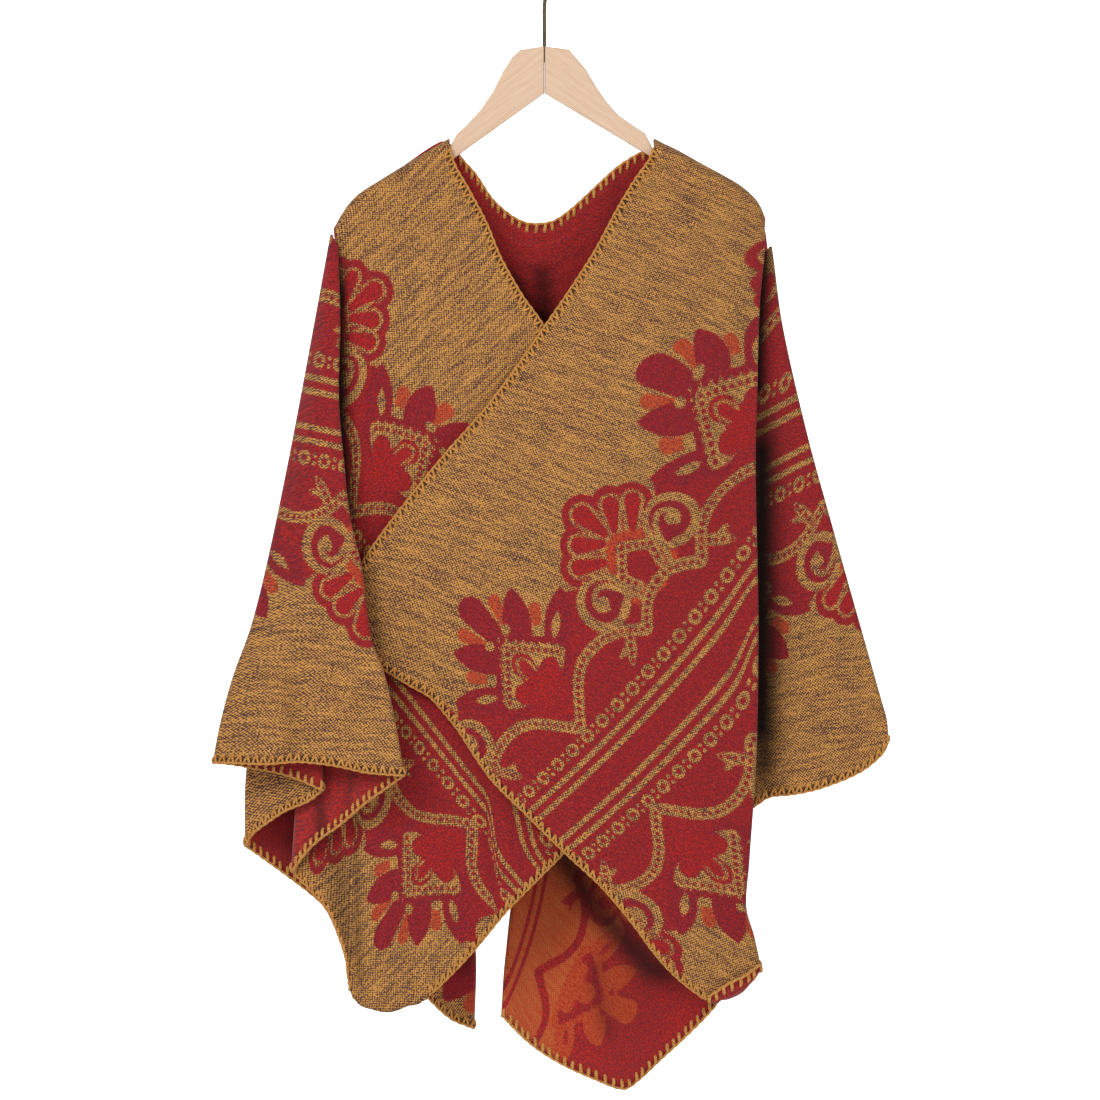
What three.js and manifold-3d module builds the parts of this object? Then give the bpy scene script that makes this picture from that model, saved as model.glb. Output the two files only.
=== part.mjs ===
// An open-front poncho (ruana) hanging on a flat wooden hanger with a wire hook.
// Millimetres, +Z up, +X to the wearer's left, the front faces -Y.
// The origin is the inner top of the hook, where a rail holds it.
import * as THREE from 'three';
import { mergeVertices } from 'three/addons/utils/BufferGeometryUtils.js';
import Module from 'manifold-3d';

// ---- driving dimensions ----
const CLOTH_WALL = 2.4; // thickness of the double-faced cloth
const SEAM_GAP = 0.3; // between two stretches of cloth that meet
const FOLD_MEET = 0.7; // from a fold's edge to the middle of each wall that meets there
const SHOULDER_ROLL = 9; // radius of the cloth over the hanger's arm
const NECK_LEFT = 104.5; // x of the neck's ends on the hanger
const NECK_RIGHT = -88;
const NECK_RISE = 0.3; // share of the roll's height along the back of the neck
const FOLD_TOP = 2.3; // radius of a hanging fold at its top
const FOLD_HEM = 4.5; // radius of a hanging fold at the hem
const WOOD_THICK = 10.5; // hanger, front to back
const WOOD_EDGE = 1.5; // its rounded edge
const WOOD_TOP = -85; // top of the wood under the hook
const WIRE = 3.4; // hook wire
const HOOK_INNER = 17; // inner radius of the hook
const HOOK_STEM_HOLE = 16; // how deep the stem sits in the wood
const HOLE_FIT = 0.35; // clearance round the stem

const CLOTH = { tan: 0xa8804a, red: 0x962124 };

// ---- fold lines and free edges, from the shoulder or neck down to the hem ----
// columns: x, y (depth), z
const RAILS = {
  armRightOuter: [
    [-199.5, -10, -261.7],
    [-210.7, -17, -324.4],
    [-235.1, -28, -456.2],
    [-257.5, -36, -565.6],
    [-273.4, -40, -629.2],
    [-290.2, -43, -675.9],
    [-301.4, -45, -717.1],
    [-308.9, -46, -755.4],
  ],
  armRightInner: [
    [-193.9, -15, -272.9],
    [-192, -36, -346.8],
    [-193, -51, -415.1],
    [-188.3, -61, -472.1],
    [-181.8, -70, -528.2],
    [-171.5, -78, -571.2],
    [-162.1, -87, -639.5],
    [-150, -91, -672.2],
    [-139.7, -95, -717.1],
    [-131.3, -98, -766.6],
  ],
  foldRightFront: [
    [-194.9, -9, -263.6],
    [-197.7, -12, -287.9],
    [-199.5, -18, -351.5],
    [-207.9, -26, -463.7],
    [-219.2, -28, -603.9],
    [-228.5, -27, -744.2],
    [-236, -23, -857.3],
  ],
  foldRightBack: [
    [-200.5, -11, -274.8],
    [-202.3, -14, -297.2],
    [-205.1, -21, -360.8],
    [-212.6, -35, -463.7],
    [-213.6, -46, -566.5],
    [-211.7, -56, -678.7],
    [-207, -63, -780.6],
  ],
  sideRightBack: [
    [-196.7, 9, -265.5],
    [-204.2, 0, -287.9],
    [-214.5, -5, -360.8],
    [-237.9, -11, -510.4],
    [-260.3, -13, -650.7],
    [-278.1, -12, -761.9],
    [-279.9, -10, -833.9],
  ],
  frontEdgeRight: [
    [-89.2, -9, -181.3],
    [-84.5, -11, -196.3],
    [-72.4, -16, -217.8],
    [-54.6, -22, -251.4],
    [-41.5, -28, -283.2],
    [-20.9, -33, -319.7],
    [-1.3, -37, -347.7],
    [52, -40, -454.3],
    [103.4, -38, -575.9],
    [145.5, -31, -697.4],
  ],
  frontEdgeLeft: [
    [102.5, -9, -181.3],
    [98.7, -10, -191.6],
    [85.6, -15, -210.3],
    [69.8, -20, -236.5],
    [44.5, -32, -283.2],
    [-0.4, -43, -350.5],
    [-49.9, -52, -419.7],
    [-95.7, -55, -472.1],
    [-140.6, -54, -528.2],
    [-167.7, -51, -566.5],
    [-197.7, -43, -622.6],
  ],
  armLeftFront: [
    [205.3, -9, -256.1],
    [205.3, -13, -276.7],
    [200.7, -22, -324.4],
    [197.8, -30, -415.1],
    [196.4, -35, -483.3],
    [198.8, -42, -620.8],
    [196.9, -46, -748.9],
    [190.4, -46, -848],
    [187.6, -44, -891],
    [195, -42, -918.1],
    [201.6, -40, -948],
  ],
  foldLeftFront: [
    [203.5, -8, -267.3],
    [196.9, -9, -300.1],
    [169.8, -13, -416.9],
    [126.8, -15, -622.6],
    [85.6, -14, -819],
  ],
  armLeftOuter: [
    [210, -3, -258],
    [213.7, -2, -284.2],
    [222.2, -1, -346.8],
    [245.5, 1, -449.2],
    [268.9, 2, -534.7],
    [294.2, 4, -624.5],
    [315.7, 6, -700.2],
    [320.3, 6, -717.1],
    [321.7, 6, -736.7],
  ],
  foldLeftBack: [
    [209.1, 3, -267.3],
    [207.2, 6, -300.1],
    [194.1, 12, -416.9],
    [169.8, 17, -603.9],
    [147.4, 20, -781.6],
  ],
  sideLeftBack: [
    [206.3, 9, -256.1],
    [209.1, 12, -287.9],
    [204.4, 24, -463.7],
    [194.1, 33, -622.6],
    [184.8, 40, -781.6],
    [180.1, 40, -856.4],
    [180.1, 36, -898.5],
    [186.6, 31, -938.7],
  ],
  pleatLeftEdge: [
    [166.1, 9, -215.4],
    [159.5, 12, -258],
    [145.5, 20, -351.5],
    [89.4, 27, -566.5],
    [20.2, 26, -753.5],
    [-24.7, 21, -865.7],
    [-35.9, 17, -940.5],
    [-39.6, 15, -993.8],
  ],
  pleatLeftInner: [
    [162.9, 9, -213.9],
    [164.2, 20, -262.6],
    [160.4, 42, -416.9],
    [145.5, 58, -603.9],
    [126.8, 64, -772.2],
    [103.4, 60, -907.8],
  ],
  pleatRightInner: [
    [-139.5, 9, -212],
    [-141.6, 5, -262.6],
    [-150, 1, -416.9],
    [-164.9, -4, -603.9],
    [-176.2, -8, -790.9],
    [-186.4, -9, -917.2],
  ],
  pleatRightEdge: [
    [-142.1, 9, -213.7],
    [-136.9, 14, -262.6],
    [-120.1, 28, -416.9],
    [-99.5, 38, -603.9],
    [-80.8, 42, -790.9],
    [-65.8, 36, -931.2],
    [-66.8, 31, -1006],
  ],
};

// ---- lower edges, from the left rail to the right rail ----
// columns: x, y (depth), z
const HEMS = {
  arm_right: [
    [-308.9, -46, -755.4],
    [-292.1, -52, -755.4],
    [-259.4, -64, -756.3],
    [-230.4, -74, -754.1],
    [-210.7, -80, -755.4],
    [-191.1, -86, -758.2],
    [-164.9, -92, -763.8],
    [-131.3, -98, -766.6],
  ],
  arm_right_inner_fold: [
    [-236, -23, -857.3],
    [-223.8, -33, -840.5],
    [-210.7, -42, -827.4],
    [-191.1, -56, -813.4],
    [-164.9, -76, -790.9],
    [-151.8, -85, -781.6],
    [-131.3, -98, -766.6],
  ],
  arm_right_back: [
    [-308.9, -46, -755.4],
    [-290.2, -47, -757.3],
    [-253.8, -51, -763.8],
    [-230.4, -55, -770.4],
    [-207, -63, -780.6],
  ],
  arm_right_back_fold: [
    [-279.9, -10, -833.9],
    [-273.4, -14, -822.7],
    [-260.3, -24, -812.4],
    [-243.5, -36, -801.2],
    [-220.1, -52, -790.9],
    [-207, -63, -780.6],
  ],
  front_right: [
    [-236, -23, -857.3],
    [-214.5, -31, -879.8],
    [-201.4, -35, -896.6],
    [-191.1, -38, -920.9],
    [-184.6, -40, -942.4],
    [-179.9, -42, -970.4],
    [-166.8, -42, -982.6],
    [-146.2, -42, -986.3],
    [-128.5, -42, -981.7],
    [-111.6, -42, -975.1],
    [-94.8, -42, -961.1],
    [-64.4, -43, -929.3],
    [-34, -44, -892.8],
    [14.6, -45, -843.3],
    [61.3, -44, -793.7],
    [103.4, -38, -748.9],
    [145.5, -31, -697.4],
  ],
  front_left: [
    [-197.7, -43, -622.6],
    [-177.1, -52, -650.7],
    [-150.9, -58, -667.5],
    [-126.6, -60, -682.5],
    [-107, -61, -693.7],
    [-94.8, -61, -706.8],
    [-79.8, -61, -725.5],
    [-64.4, -60, -749.3],
    [-47.1, -60, -773.2],
    [-21.9, -59, -798.4],
    [19.3, -58, -839.1],
    [49.2, -57, -866.7],
    [66.9, -56, -886.3],
    [85.6, -55, -909.7],
    [101.1, -53, -931.2],
    [120.2, -51, -952.7],
    [141.7, -48, -970.4],
    [156.7, -46, -977.9],
    [184.8, -42, -967.6],
    [201.6, -40, -948],
  ],
  arm_left_front_fold: [
    [85.6, -14, -819],
    [126.8, -24, -865.7],
    [168.9, -36, -917.2],
    [201.6, -40, -948],
  ],
  arm_left: [
    [85.6, -14, -819],
    [136.1, -11, -811.5],
    [173.5, -8, -804],
    [194.1, -7, -798.4],
    [210.9, -6, -788.1],
    [232, -4, -785.8],
    [259.6, -1, -779.7],
    [296, 3, -764.7],
    [317.5, 5.5, -747],
    [321.7, 6, -736.7],
  ],
  arm_left_back: [
    [147.4, 20, -781.6],
    [229.6, 15, -767.6],
    [321.7, 6, -736.7],
  ],
  arm_left_back_fold: [
    [147.4, 20, -781.6],
    [166.1, 26, -856.4],
    [186.6, 31, -938.7],
  ],
  back_left: [
    [-39.6, 15, -993.8],
    [-13.5, 18, -1020],
    [14.6, 20, -1038.7],
    [52, 22, -1055.5],
    [74.4, 24, -1063],
    [83.8, 24, -1058.3],
    [108.1, 26, -1036.8],
    [136.1, 28, -1010.7],
    [164.2, 29, -979.8],
    [186.6, 31, -938.7],
  ],
  back_left_pleat: [
    [-39.6, 15, -993.8],
    [28.6, 36, -954.6],
    [103.4, 60, -907.8],
  ],
  back_centre: [
    [-186.4, -9, -917.2],
    [-139.7, -7, -889.1],
    [-88.3, 2, -856.4],
    [-32.2, 26, -839.5],
    [23.9, 46, -848.9],
    [66, 56, -875.1],
    [103.4, 60, -907.8],
  ],
  back_right_pleat: [
    [-186.4, -9, -917.2],
    [-149, 3, -942.4],
    [-111.6, 15, -975.1],
    [-88.3, 24, -996.6],
    [-66.8, 31, -1006],
  ],
  back_right: [
    [-279.9, -10, -833.9],
    [-263.1, -4, -846.1],
    [-243.5, 2, -860.6],
    [-220.1, 9, -878.8],
    [-181.8, 18, -912.5],
    [-135, 26, -954.6],
    [-97.6, 30, -985.4],
    [-66.8, 31, -1006],
  ],
};

// ---- upper edges where they aren't a straight line between the rails ----
// columns: x, y (depth), z
const TOPS = {
  front_right: [
    [-194.9, -9, -263.6],
    [-188.3, -9, -250.5],
    [-176.2, -9, -235.5],
    [-155.6, -9, -221.5],
    [-89.2, -9, -181.3],
  ],
  front_left: [
    [102.5, -9, -181.3],
    [177.3, -9, -221.5],
    [192.2, -9, -232.7],
    [200.7, -9, -243],
    [205.3, -9, -256.1],
  ],
  back_right: [
    [-196.7, 9, -265.5],
    [-188.3, 9, -250.5],
    [-176.2, 9, -235.5],
    [-155.6, 9, -221.5],
    [-142.1, 9, -213.7],
  ],
  back_left: [
    [166.1, 9, -215.4],
    [177.3, 9, -221.5],
    [192.2, 9, -232.7],
    [200.7, 9, -243],
    [206.3, 9, -256.1],
  ],
  back_centre: [
    [-139.5, 9, -212],
    [-89.2, 9, -181.3],
    [-76.1, 10, -195.3],
    [-64.9, 12, -207.5],
    [-49.9, 15, -229.9],
    [-35.9, 17, -243],
    [-20, 18, -252.4],
    [-7.9, 18, -254.2],
    [8, 18, -251.9],
    [23, 17, -242.1],
    [38.9, 15, -228.1],
    [57.6, 13, -210.8],
    [72.6, 14, -198.1],
    [94.1, 13, -186],
    [108.1, 10, -184.6],
    [162.9, 9, -213.9],
  ],
};

// ---- the stretches of cloth ----
// left, right: rails. turnLeft, turnRight: which way the cloth turns at that fold, -1 towards the front, 1 towards the back, 0 a free edge.
// bulge: how far its middle stands out in Y. roll: -1 or 1 where its top edge curls over the hanger's arm from the front or the back.
// waves, wave: how many soft folds hang in it and how deep they are at the hem. from: how far down its rails it begins, as a share of their length, where the fold is too narrow above. across, down: how many steps it is drawn in.
const PANELS = [
  { name: 'front_left', left: 'frontEdgeLeft', right: 'armLeftFront', turnLeft: 0, turnRight: -1, bulge: -10, waves: 1.5, wave: 3, roll: -1, from: 0, across: 11, down: 13 },
  { name: 'front_right', left: 'foldRightFront', right: 'frontEdgeRight', turnLeft: 1, turnRight: 0, bulge: -4, waves: 1.5, wave: 3, roll: -1, from: 0, across: 11, down: 12 },
  { name: 'arm_left_front_fold', left: 'foldLeftFront', right: 'armLeftFront', turnLeft: -1, turnRight: 1, bulge: 0, waves: 0, wave: 0, roll: 0, from: 0.08, across: 4, down: 10 },
  { name: 'arm_left', left: 'foldLeftFront', right: 'armLeftOuter', turnLeft: 1, turnRight: -1, bulge: -3, waves: 1, wave: 2, roll: 0, from: 0.03, across: 6, down: 11 },
  { name: 'arm_left_back', left: 'foldLeftBack', right: 'armLeftOuter', turnLeft: -1, turnRight: 1, bulge: 0, waves: 0, wave: 0, roll: 0, from: 0.08, across: 5, down: 10 },
  { name: 'arm_left_back_fold', left: 'foldLeftBack', right: 'sideLeftBack', turnLeft: 1, turnRight: -1, bulge: 0, waves: 0, wave: 0, roll: 0, from: 0.12, across: 2, down: 10 },
  { name: 'arm_right_inner_fold', left: 'foldRightFront', right: 'armRightInner', turnLeft: -1, turnRight: 1, bulge: 0, waves: 0, wave: 0, roll: 0, from: 0.1, across: 5, down: 10 },
  { name: 'arm_right', left: 'armRightOuter', right: 'armRightInner', turnLeft: -1, turnRight: -1, bulge: -8, waves: 1, wave: -3, roll: 0, from: 0, across: 7, down: 12 },
  { name: 'arm_right_back', left: 'armRightOuter', right: 'foldRightBack', turnLeft: 1, turnRight: -1, bulge: 0, waves: 0, wave: 0, roll: 0, from: 0.1, across: 4, down: 10 },
  { name: 'arm_right_back_fold', left: 'sideRightBack', right: 'foldRightBack', turnLeft: -1, turnRight: 1, bulge: 0, waves: 0, wave: 0, roll: 0, from: 0.12, across: 4, down: 10 },
  { name: 'back_left', left: 'pleatLeftEdge', right: 'sideLeftBack', turnLeft: -1, turnRight: 1, bulge: 4, waves: 2, wave: 7, roll: 1, from: 0, across: 8, down: 12 },
  { name: 'back_left_pleat', left: 'pleatLeftEdge', right: 'pleatLeftInner', turnLeft: 1, turnRight: -1, bulge: 0, waves: 0, wave: 0, roll: 0, from: 0.14, across: 4, down: 9 },
  { name: 'back_centre', left: 'pleatRightInner', right: 'pleatLeftInner', turnLeft: -1, turnRight: 1, bulge: 6, waves: 2, wave: -5, roll: 1, from: 0, across: 13, down: 11 },
  { name: 'back_right_pleat', left: 'pleatRightInner', right: 'pleatRightEdge', turnLeft: 1, turnRight: -1, bulge: 0, waves: 0, wave: 0, roll: 0, from: 0.14, across: 3, down: 10 },
  { name: 'back_right', left: 'sideRightBack', right: 'pleatRightEdge', turnLeft: 1, turnRight: 1, bulge: 14, waves: 1.5, wave: 7, roll: 1, from: 0, across: 7, down: 12 },
];

// ---- a smooth curve through a table's rows, by its length ----
function curveThrough(rows) {
  const p = rows.map((r) => new THREE.Vector3(...r));
  if (p.length === 2) return (u) => p[0].clone().lerp(p[1], u);
  const at = [0];
  for (let i = 1; i < p.length; i++) at.push(at[i - 1] + p[i].distanceTo(p[i - 1]));
  const total = at[at.length - 1];
  const slope = p.map((_, i) => {
    const a = Math.max(0, i - 1);
    const b = Math.min(p.length - 1, i + 1);
    return p[b].clone().sub(p[a]).divideScalar(at[b] - at[a]);
  });
  return (u) => {
    const d = Math.min(1, Math.max(0, u)) * total;
    let i = 0;
    while (i < p.length - 2 && at[i + 1] < d) i++;
    const h = at[i + 1] - at[i];
    const k = (d - at[i]) / h;
    const k2 = k * k;
    const k3 = k2 * k;
    return p[i].clone().multiplyScalar(2 * k3 - 3 * k2 + 1)
      .addScaledVector(slope[i], (k3 - 2 * k2 + k) * h)
      .addScaledVector(p[i + 1], -2 * k3 + 3 * k2)
      .addScaledVector(slope[i + 1], (k3 - k2) * h);
  };
}

// ---- one stretch of cloth: a patch between two rails, a top edge and a hem ----
function patch(panel) {
  const whole = { L: curveThrough(RAILS[panel.left]), R: curveThrough(RAILS[panel.right]) };
  const L = (t) => whole.L(panel.from + (1 - panel.from) * t);
  const R = (t) => whole.R(panel.from + (1 - panel.from) * t);
  const T = curveThrough(TOPS[panel.name] ?? [L(0).toArray(), R(0).toArray()]);
  const H = curveThrough(HEMS[panel.name]);
  return (s, t) => {
    const q = L(t).multiplyScalar(1 - s).addScaledVector(R(t), s);
    q.addScaledVector(T(s), 1 - t).addScaledVector(H(s), t);
    q.addScaledVector(T(0), -(1 - s) * (1 - t)).addScaledVector(T(1), -s * (1 - t));
    q.addScaledVector(H(0), -(1 - s) * t).addScaledVector(H(1), -s * t);
    q.y += panel.bulge * Math.sin(Math.PI * s) * Math.sin(Math.PI * Math.min(1, 0.06 + 0.94 * t)) ** 0.8;
    q.y += panel.wave * Math.sin(2 * Math.PI * panel.waves * s) * Math.sin(Math.PI * s) ** 0.5 * t ** 1.2;
    return q;
  };
}

// steps across the cloth: a quarter turn at each fold, then even steps
function stepsAcross(panel, width, radius) {
  const steps = [];
  const turn = (side) => [0, 45, 90].map((deg) => {
    const a = THREE.MathUtils.degToRad(deg);
    return { inward: radius * (1 - Math.cos(a)), lift: side * Math.max(FOLD_MEET, radius * Math.sin(a)) };
  });
  const left = panel.turnLeft ? turn(panel.turnLeft) : [{ inward: 0, lift: 0 }];
  const right = panel.turnRight ? turn(panel.turnRight) : [{ inward: 0, lift: 0 }];
  for (const k of left) steps.push({ s: k.inward / width, lift: k.lift });
  const s0 = steps[steps.length - 1].s;
  const s1 = 1 - right[right.length - 1].inward / width;
  const l0 = left[left.length - 1].lift;
  const l1 = right[right.length - 1].lift;
  for (let i = 1; i < panel.across; i++) {
    const k = i / panel.across;
    steps.push({ s: s0 + (s1 - s0) * k, lift: l0 + (l1 - l0) * k });
  }
  for (const k of right.reverse()) steps.push({ s: 1 - k.inward / width, lift: k.lift });
  return steps;
}

// 1 where the top edge lies on the hanger, 0 along the back of the neck
function onShoulder(x) {
  return THREE.MathUtils.clamp(Math.max(NECK_RIGHT - x, x - NECK_LEFT) / 6, 0, 1);
}

function clothWall(panel) {
  const at = patch(panel);
  const grid = [];
  if (panel.roll) {
    // the edge over the hanger's arm: a quarter circle from the top line down to the patch's first row
    for (const deg of [2, 32, 61]) {
      const a = THREE.MathUtils.degToRad(deg);
      const row = [];
      for (const k of stepsAcross(panel, at(0, 0.02).distanceTo(at(1, 0.02)), FOLD_TOP)) {
        const q = at(k.s, 0);
        const on = panel.roll > 0 ? onShoulder(q.x) : 1;
        const away = Math.abs(q.y);
        const y = panel.roll * Math.max(FOLD_MEET, away * Math.sin(a));
        row.push(new THREE.Vector3(q.x, q.y + (y - q.y) * on, q.z + SHOULDER_ROLL * Math.cos(a) * (NECK_RISE + (1 - NECK_RISE) * on)));
      }
      grid.push(row);
    }
  }
  for (let j = 0; j <= panel.down; j++) {
    const t = j / panel.down;
    const width = at(0, t).distanceTo(at(1, t));
    const radius = Math.min(FOLD_TOP + (FOLD_HEM - FOLD_TOP) * t, width / 3.2);
    grid.push(stepsAcross(panel, width, radius).map((k) => {
      const q = at(k.s, t);
      q.y += panel.roll ? k.lift * Math.min(1, t * 8) : k.lift;
      return q;
    }));
  }
  return wallOf(grid, CLOTH_WALL);
}

// ---- a closed wall of even thickness about a grid of points ----
function wallOf(grid, thick) {
  const rows = grid.length;
  const cols = grid[0].length;
  const normal = (j, i) => {
    const a = grid[Math.max(0, j - 1)][i];
    const b = grid[Math.min(rows - 1, j + 1)][i];
    const c = grid[j][Math.max(0, i - 1)];
    const d = grid[j][Math.min(cols - 1, i + 1)];
    return b.clone().sub(a).cross(d.clone().sub(c)).normalize();
  };
  const position = [];
  for (const side of [0.5, -0.5]) {
    for (let j = 0; j < rows; j++) {
      for (let i = 0; i < cols; i++) {
        const q = grid[j][i].clone().addScaledVector(normal(j, i), side * thick);
        position.push(q.x, q.y, q.z);
      }
    }
  }
  const index = [];
  const quad = (a, b, c, d) => index.push(a, b, c, a, c, d);
  const id = (layer, j, i) => layer * rows * cols + j * cols + i;
  for (let j = 0; j < rows - 1; j++) {
    for (let i = 0; i < cols - 1; i++) {
      quad(id(0, j, i), id(0, j + 1, i), id(0, j + 1, i + 1), id(0, j, i + 1));
      quad(id(1, j, i), id(1, j, i + 1), id(1, j + 1, i + 1), id(1, j + 1, i));
    }
  }
  for (let j = 0; j < rows - 1; j++) {
    quad(id(0, j, 0), id(1, j, 0), id(1, j + 1, 0), id(0, j + 1, 0));
    quad(id(0, j, cols - 1), id(0, j + 1, cols - 1), id(1, j + 1, cols - 1), id(1, j, cols - 1));
  }
  for (let i = 0; i < cols - 1; i++) {
    quad(id(0, 0, i), id(0, 0, i + 1), id(1, 0, i + 1), id(1, 0, i));
    quad(id(0, rows - 1, i), id(1, rows - 1, i), id(1, rows - 1, i + 1), id(0, rows - 1, i + 1));
  }
  const g = new THREE.BufferGeometry();
  g.setAttribute('position', new THREE.Float32BufferAttribute(position, 3));
  g.setIndex(index);
  return outward(g);
}

function signedVolume(g) {
  const p = g.attributes.position;
  const at = (n) => new THREE.Vector3().fromBufferAttribute(p, n);
  let v = 0;
  for (let i = 0; i < g.index.count; i += 3) {
    v += at(g.index.getX(i)).dot(at(g.index.getX(i + 1)).cross(at(g.index.getX(i + 2)))) / 6;
  }
  return v;
}

function outward(g) {
  if (signedVolume(g) < 0) {
    const n = g.index.array;
    for (let i = 0; i < n.length; i += 3) [n[i + 1], n[i + 2]] = [n[i + 2], n[i + 1]];
  }
  g.computeVertexNormals();
  return g;
}

// ---- hanger ----
// outlines of the two halves, from the middle of the top round to the middle of the underside
// columns: x, z
const HANGER = {
  hanger_left: [
    [0.15, -85], [23, -88], [38.9, -106.5], [48.2, -122.4], [58.5, -137.4], [69.8, -150], [85.6, -160.7], [94.5, -166.6],
    [103, -183.5], [125, -196.5], [177, -222], [194, -232.5], [200, -242], [199.5, -249], [192, -251.5], [180, -247], [96.8, -186.8], [0.15, -129],
  ],
  hanger_right: [
    [-0.15, -85], [-23, -88.5], [-30.3, -95.3], [-38.7, -108.4], [-48, -127.1], [-59.3, -143.9], [-73.3, -159.3], [-82, -167],
    [-87.5, -177], [-110, -194], [-155, -222], [-174, -236], [-186, -247], [-188.5, -254], [-184, -259], [-176, -258.5], [-80.8, -187], [-0.15, -129],
  ],
};

function hangerOutline(name) {
  const shape = new THREE.Shape();
  HANGER[name].forEach(([x, z], i) => shape[i ? 'lineTo' : 'moveTo'](x, z));
  shape.closePath();
  return shape;
}

const wasm = await Module();
wasm.setup();

function toSolid(geometry) {
  const g = geometry.clone();
  g.deleteAttribute('normal');
  g.deleteAttribute('uv');
  const m = mergeVertices(g, 1e-4);
  return new wasm.Manifold(new wasm.Mesh({
    numProp: 3,
    vertProperties: Float32Array.from(m.attributes.position.array),
    triVerts: Uint32Array.from(m.index.array),
  }));
}

function fromSolid(solid) {
  const m = solid.getMesh();
  const g = new THREE.BufferGeometry();
  const p = [];
  for (let i = 0; i < m.numVert; i++) p.push(m.vertProperties[i * m.numProp], m.vertProperties[i * m.numProp + 1], m.vertProperties[i * m.numProp + 2]);
  g.setAttribute('position', new THREE.Float32BufferAttribute(p, 3));
  g.setIndex(Array.from(m.triVerts));
  g.computeVertexNormals();
  return g;
}

function hangerHalf(name) {
  const plate = new THREE.ExtrudeGeometry(hangerOutline(name), {
    depth: WOOD_THICK - 2 * WOOD_EDGE, bevelEnabled: true, bevelThickness: WOOD_EDGE, bevelSize: WOOD_EDGE, bevelOffset: -WOOD_EDGE, bevelSegments: 2, steps: 1,
  });
  plate.translate(0, 0, -(WOOD_THICK - 2 * WOOD_EDGE) / 2);
  plate.rotateX(Math.PI / 2);
  const hole = new THREE.CylinderGeometry(WIRE / 2 + HOLE_FIT, WIRE / 2 + HOLE_FIT, HOOK_STEM_HOLE * 2, 16);
  hole.rotateX(Math.PI / 2);
  hole.translate(0, 0, WOOD_TOP);
  return fromSolid(toSolid(plate).subtract(toSolid(hole)));
}

function hookWire() {
  const radius = HOOK_INNER + WIRE / 2;
  const centre = -HOOK_INNER;
  const rows = [
    new THREE.Vector3(0, 0, WOOD_TOP - HOOK_STEM_HOLE + 1), new THREE.Vector3(0, 0, WOOD_TOP), new THREE.Vector3(0, 0, -62),
    new THREE.Vector3(0, 0, -50), new THREE.Vector3(1.2, 0, centre - radius - 4.5),
  ];
  for (let deg = -62; deg <= 196; deg += 21.5) {
    const a = THREE.MathUtils.degToRad(deg);
    rows.push(new THREE.Vector3(radius * Math.cos(a), 0, centre + radius * Math.sin(a)));
  }
  const section = new THREE.Shape();
  for (let i = 0; i < 8; i++) {
    const a = (i / 8) * Math.PI * 2;
    section[i ? 'lineTo' : 'moveTo']((WIRE / 2) * Math.cos(a), (WIRE / 2) * Math.sin(a));
  }
  section.closePath();
  return new THREE.ExtrudeGeometry(section, { steps: 40, bevelEnabled: false, extrudePath: new THREE.CatmullRomCurve3(rows, false, 'centripetal') });
}

// ---- the part ----
const group = new THREE.Group();
function add(name, geometry, color, roughness, metalness = 0) {
  const mesh = new THREE.Mesh(geometry, new THREE.MeshStandardMaterial({ color, roughness, metalness }));
  mesh.name = name;
  group.add(mesh);
}
for (const panel of PANELS) add(panel.name, clothWall(panel), panel.name.includes('fold') ? CLOTH.red : CLOTH.tan, 0.95);
for (const name of Object.keys(HANGER)) add(name, hangerHalf(name), 0xe8c8a5, 0.5);
add('hook', hookWire(), 0x4a4636, 0.4, 0.9);

export default group;
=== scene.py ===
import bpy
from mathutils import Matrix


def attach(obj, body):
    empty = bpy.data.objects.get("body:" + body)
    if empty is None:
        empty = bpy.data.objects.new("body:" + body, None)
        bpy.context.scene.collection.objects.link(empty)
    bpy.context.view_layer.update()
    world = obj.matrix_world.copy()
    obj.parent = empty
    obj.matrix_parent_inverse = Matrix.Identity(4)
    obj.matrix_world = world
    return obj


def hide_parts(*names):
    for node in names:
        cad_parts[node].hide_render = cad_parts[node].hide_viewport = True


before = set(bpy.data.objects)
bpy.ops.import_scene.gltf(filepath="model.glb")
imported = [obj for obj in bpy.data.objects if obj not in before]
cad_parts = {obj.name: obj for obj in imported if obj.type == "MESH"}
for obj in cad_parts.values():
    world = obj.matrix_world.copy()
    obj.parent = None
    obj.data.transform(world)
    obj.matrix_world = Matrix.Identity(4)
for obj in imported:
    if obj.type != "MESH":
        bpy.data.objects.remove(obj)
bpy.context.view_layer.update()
# Andean poncho on a wooden hanger: fine cloth, its blanket stitch, woven ornament, wood and wire.
# Lengths in the tables are millimetres; the row frame is metres.
import math

import bpy
import numpy as np
from mathutils import Vector

MM = 0.001

WALL = 2.4            # thickness of the double cloth
FOLD_TOP = 2.3        # bend radius of a fold at the shoulder
FOLD_HEM = 4.5        # and at the hem
SHOULDER_ROLL = 9     # height of the roll over the hanger's arm
NECK_LEFT, NECK_RIGHT, NECK_RISE = 104.5, -88, 0.3
THREAD = 1.15         # radius of the stitching yarn
CORD = 1.35           # radius of the edge cord
STITCH = 8.2          # distance from stitch to stitch
REPEAT = 294.0        # length of the ornament's repeat
SIDE = 327.0          # from the border's centre stripe to the front edge

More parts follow.
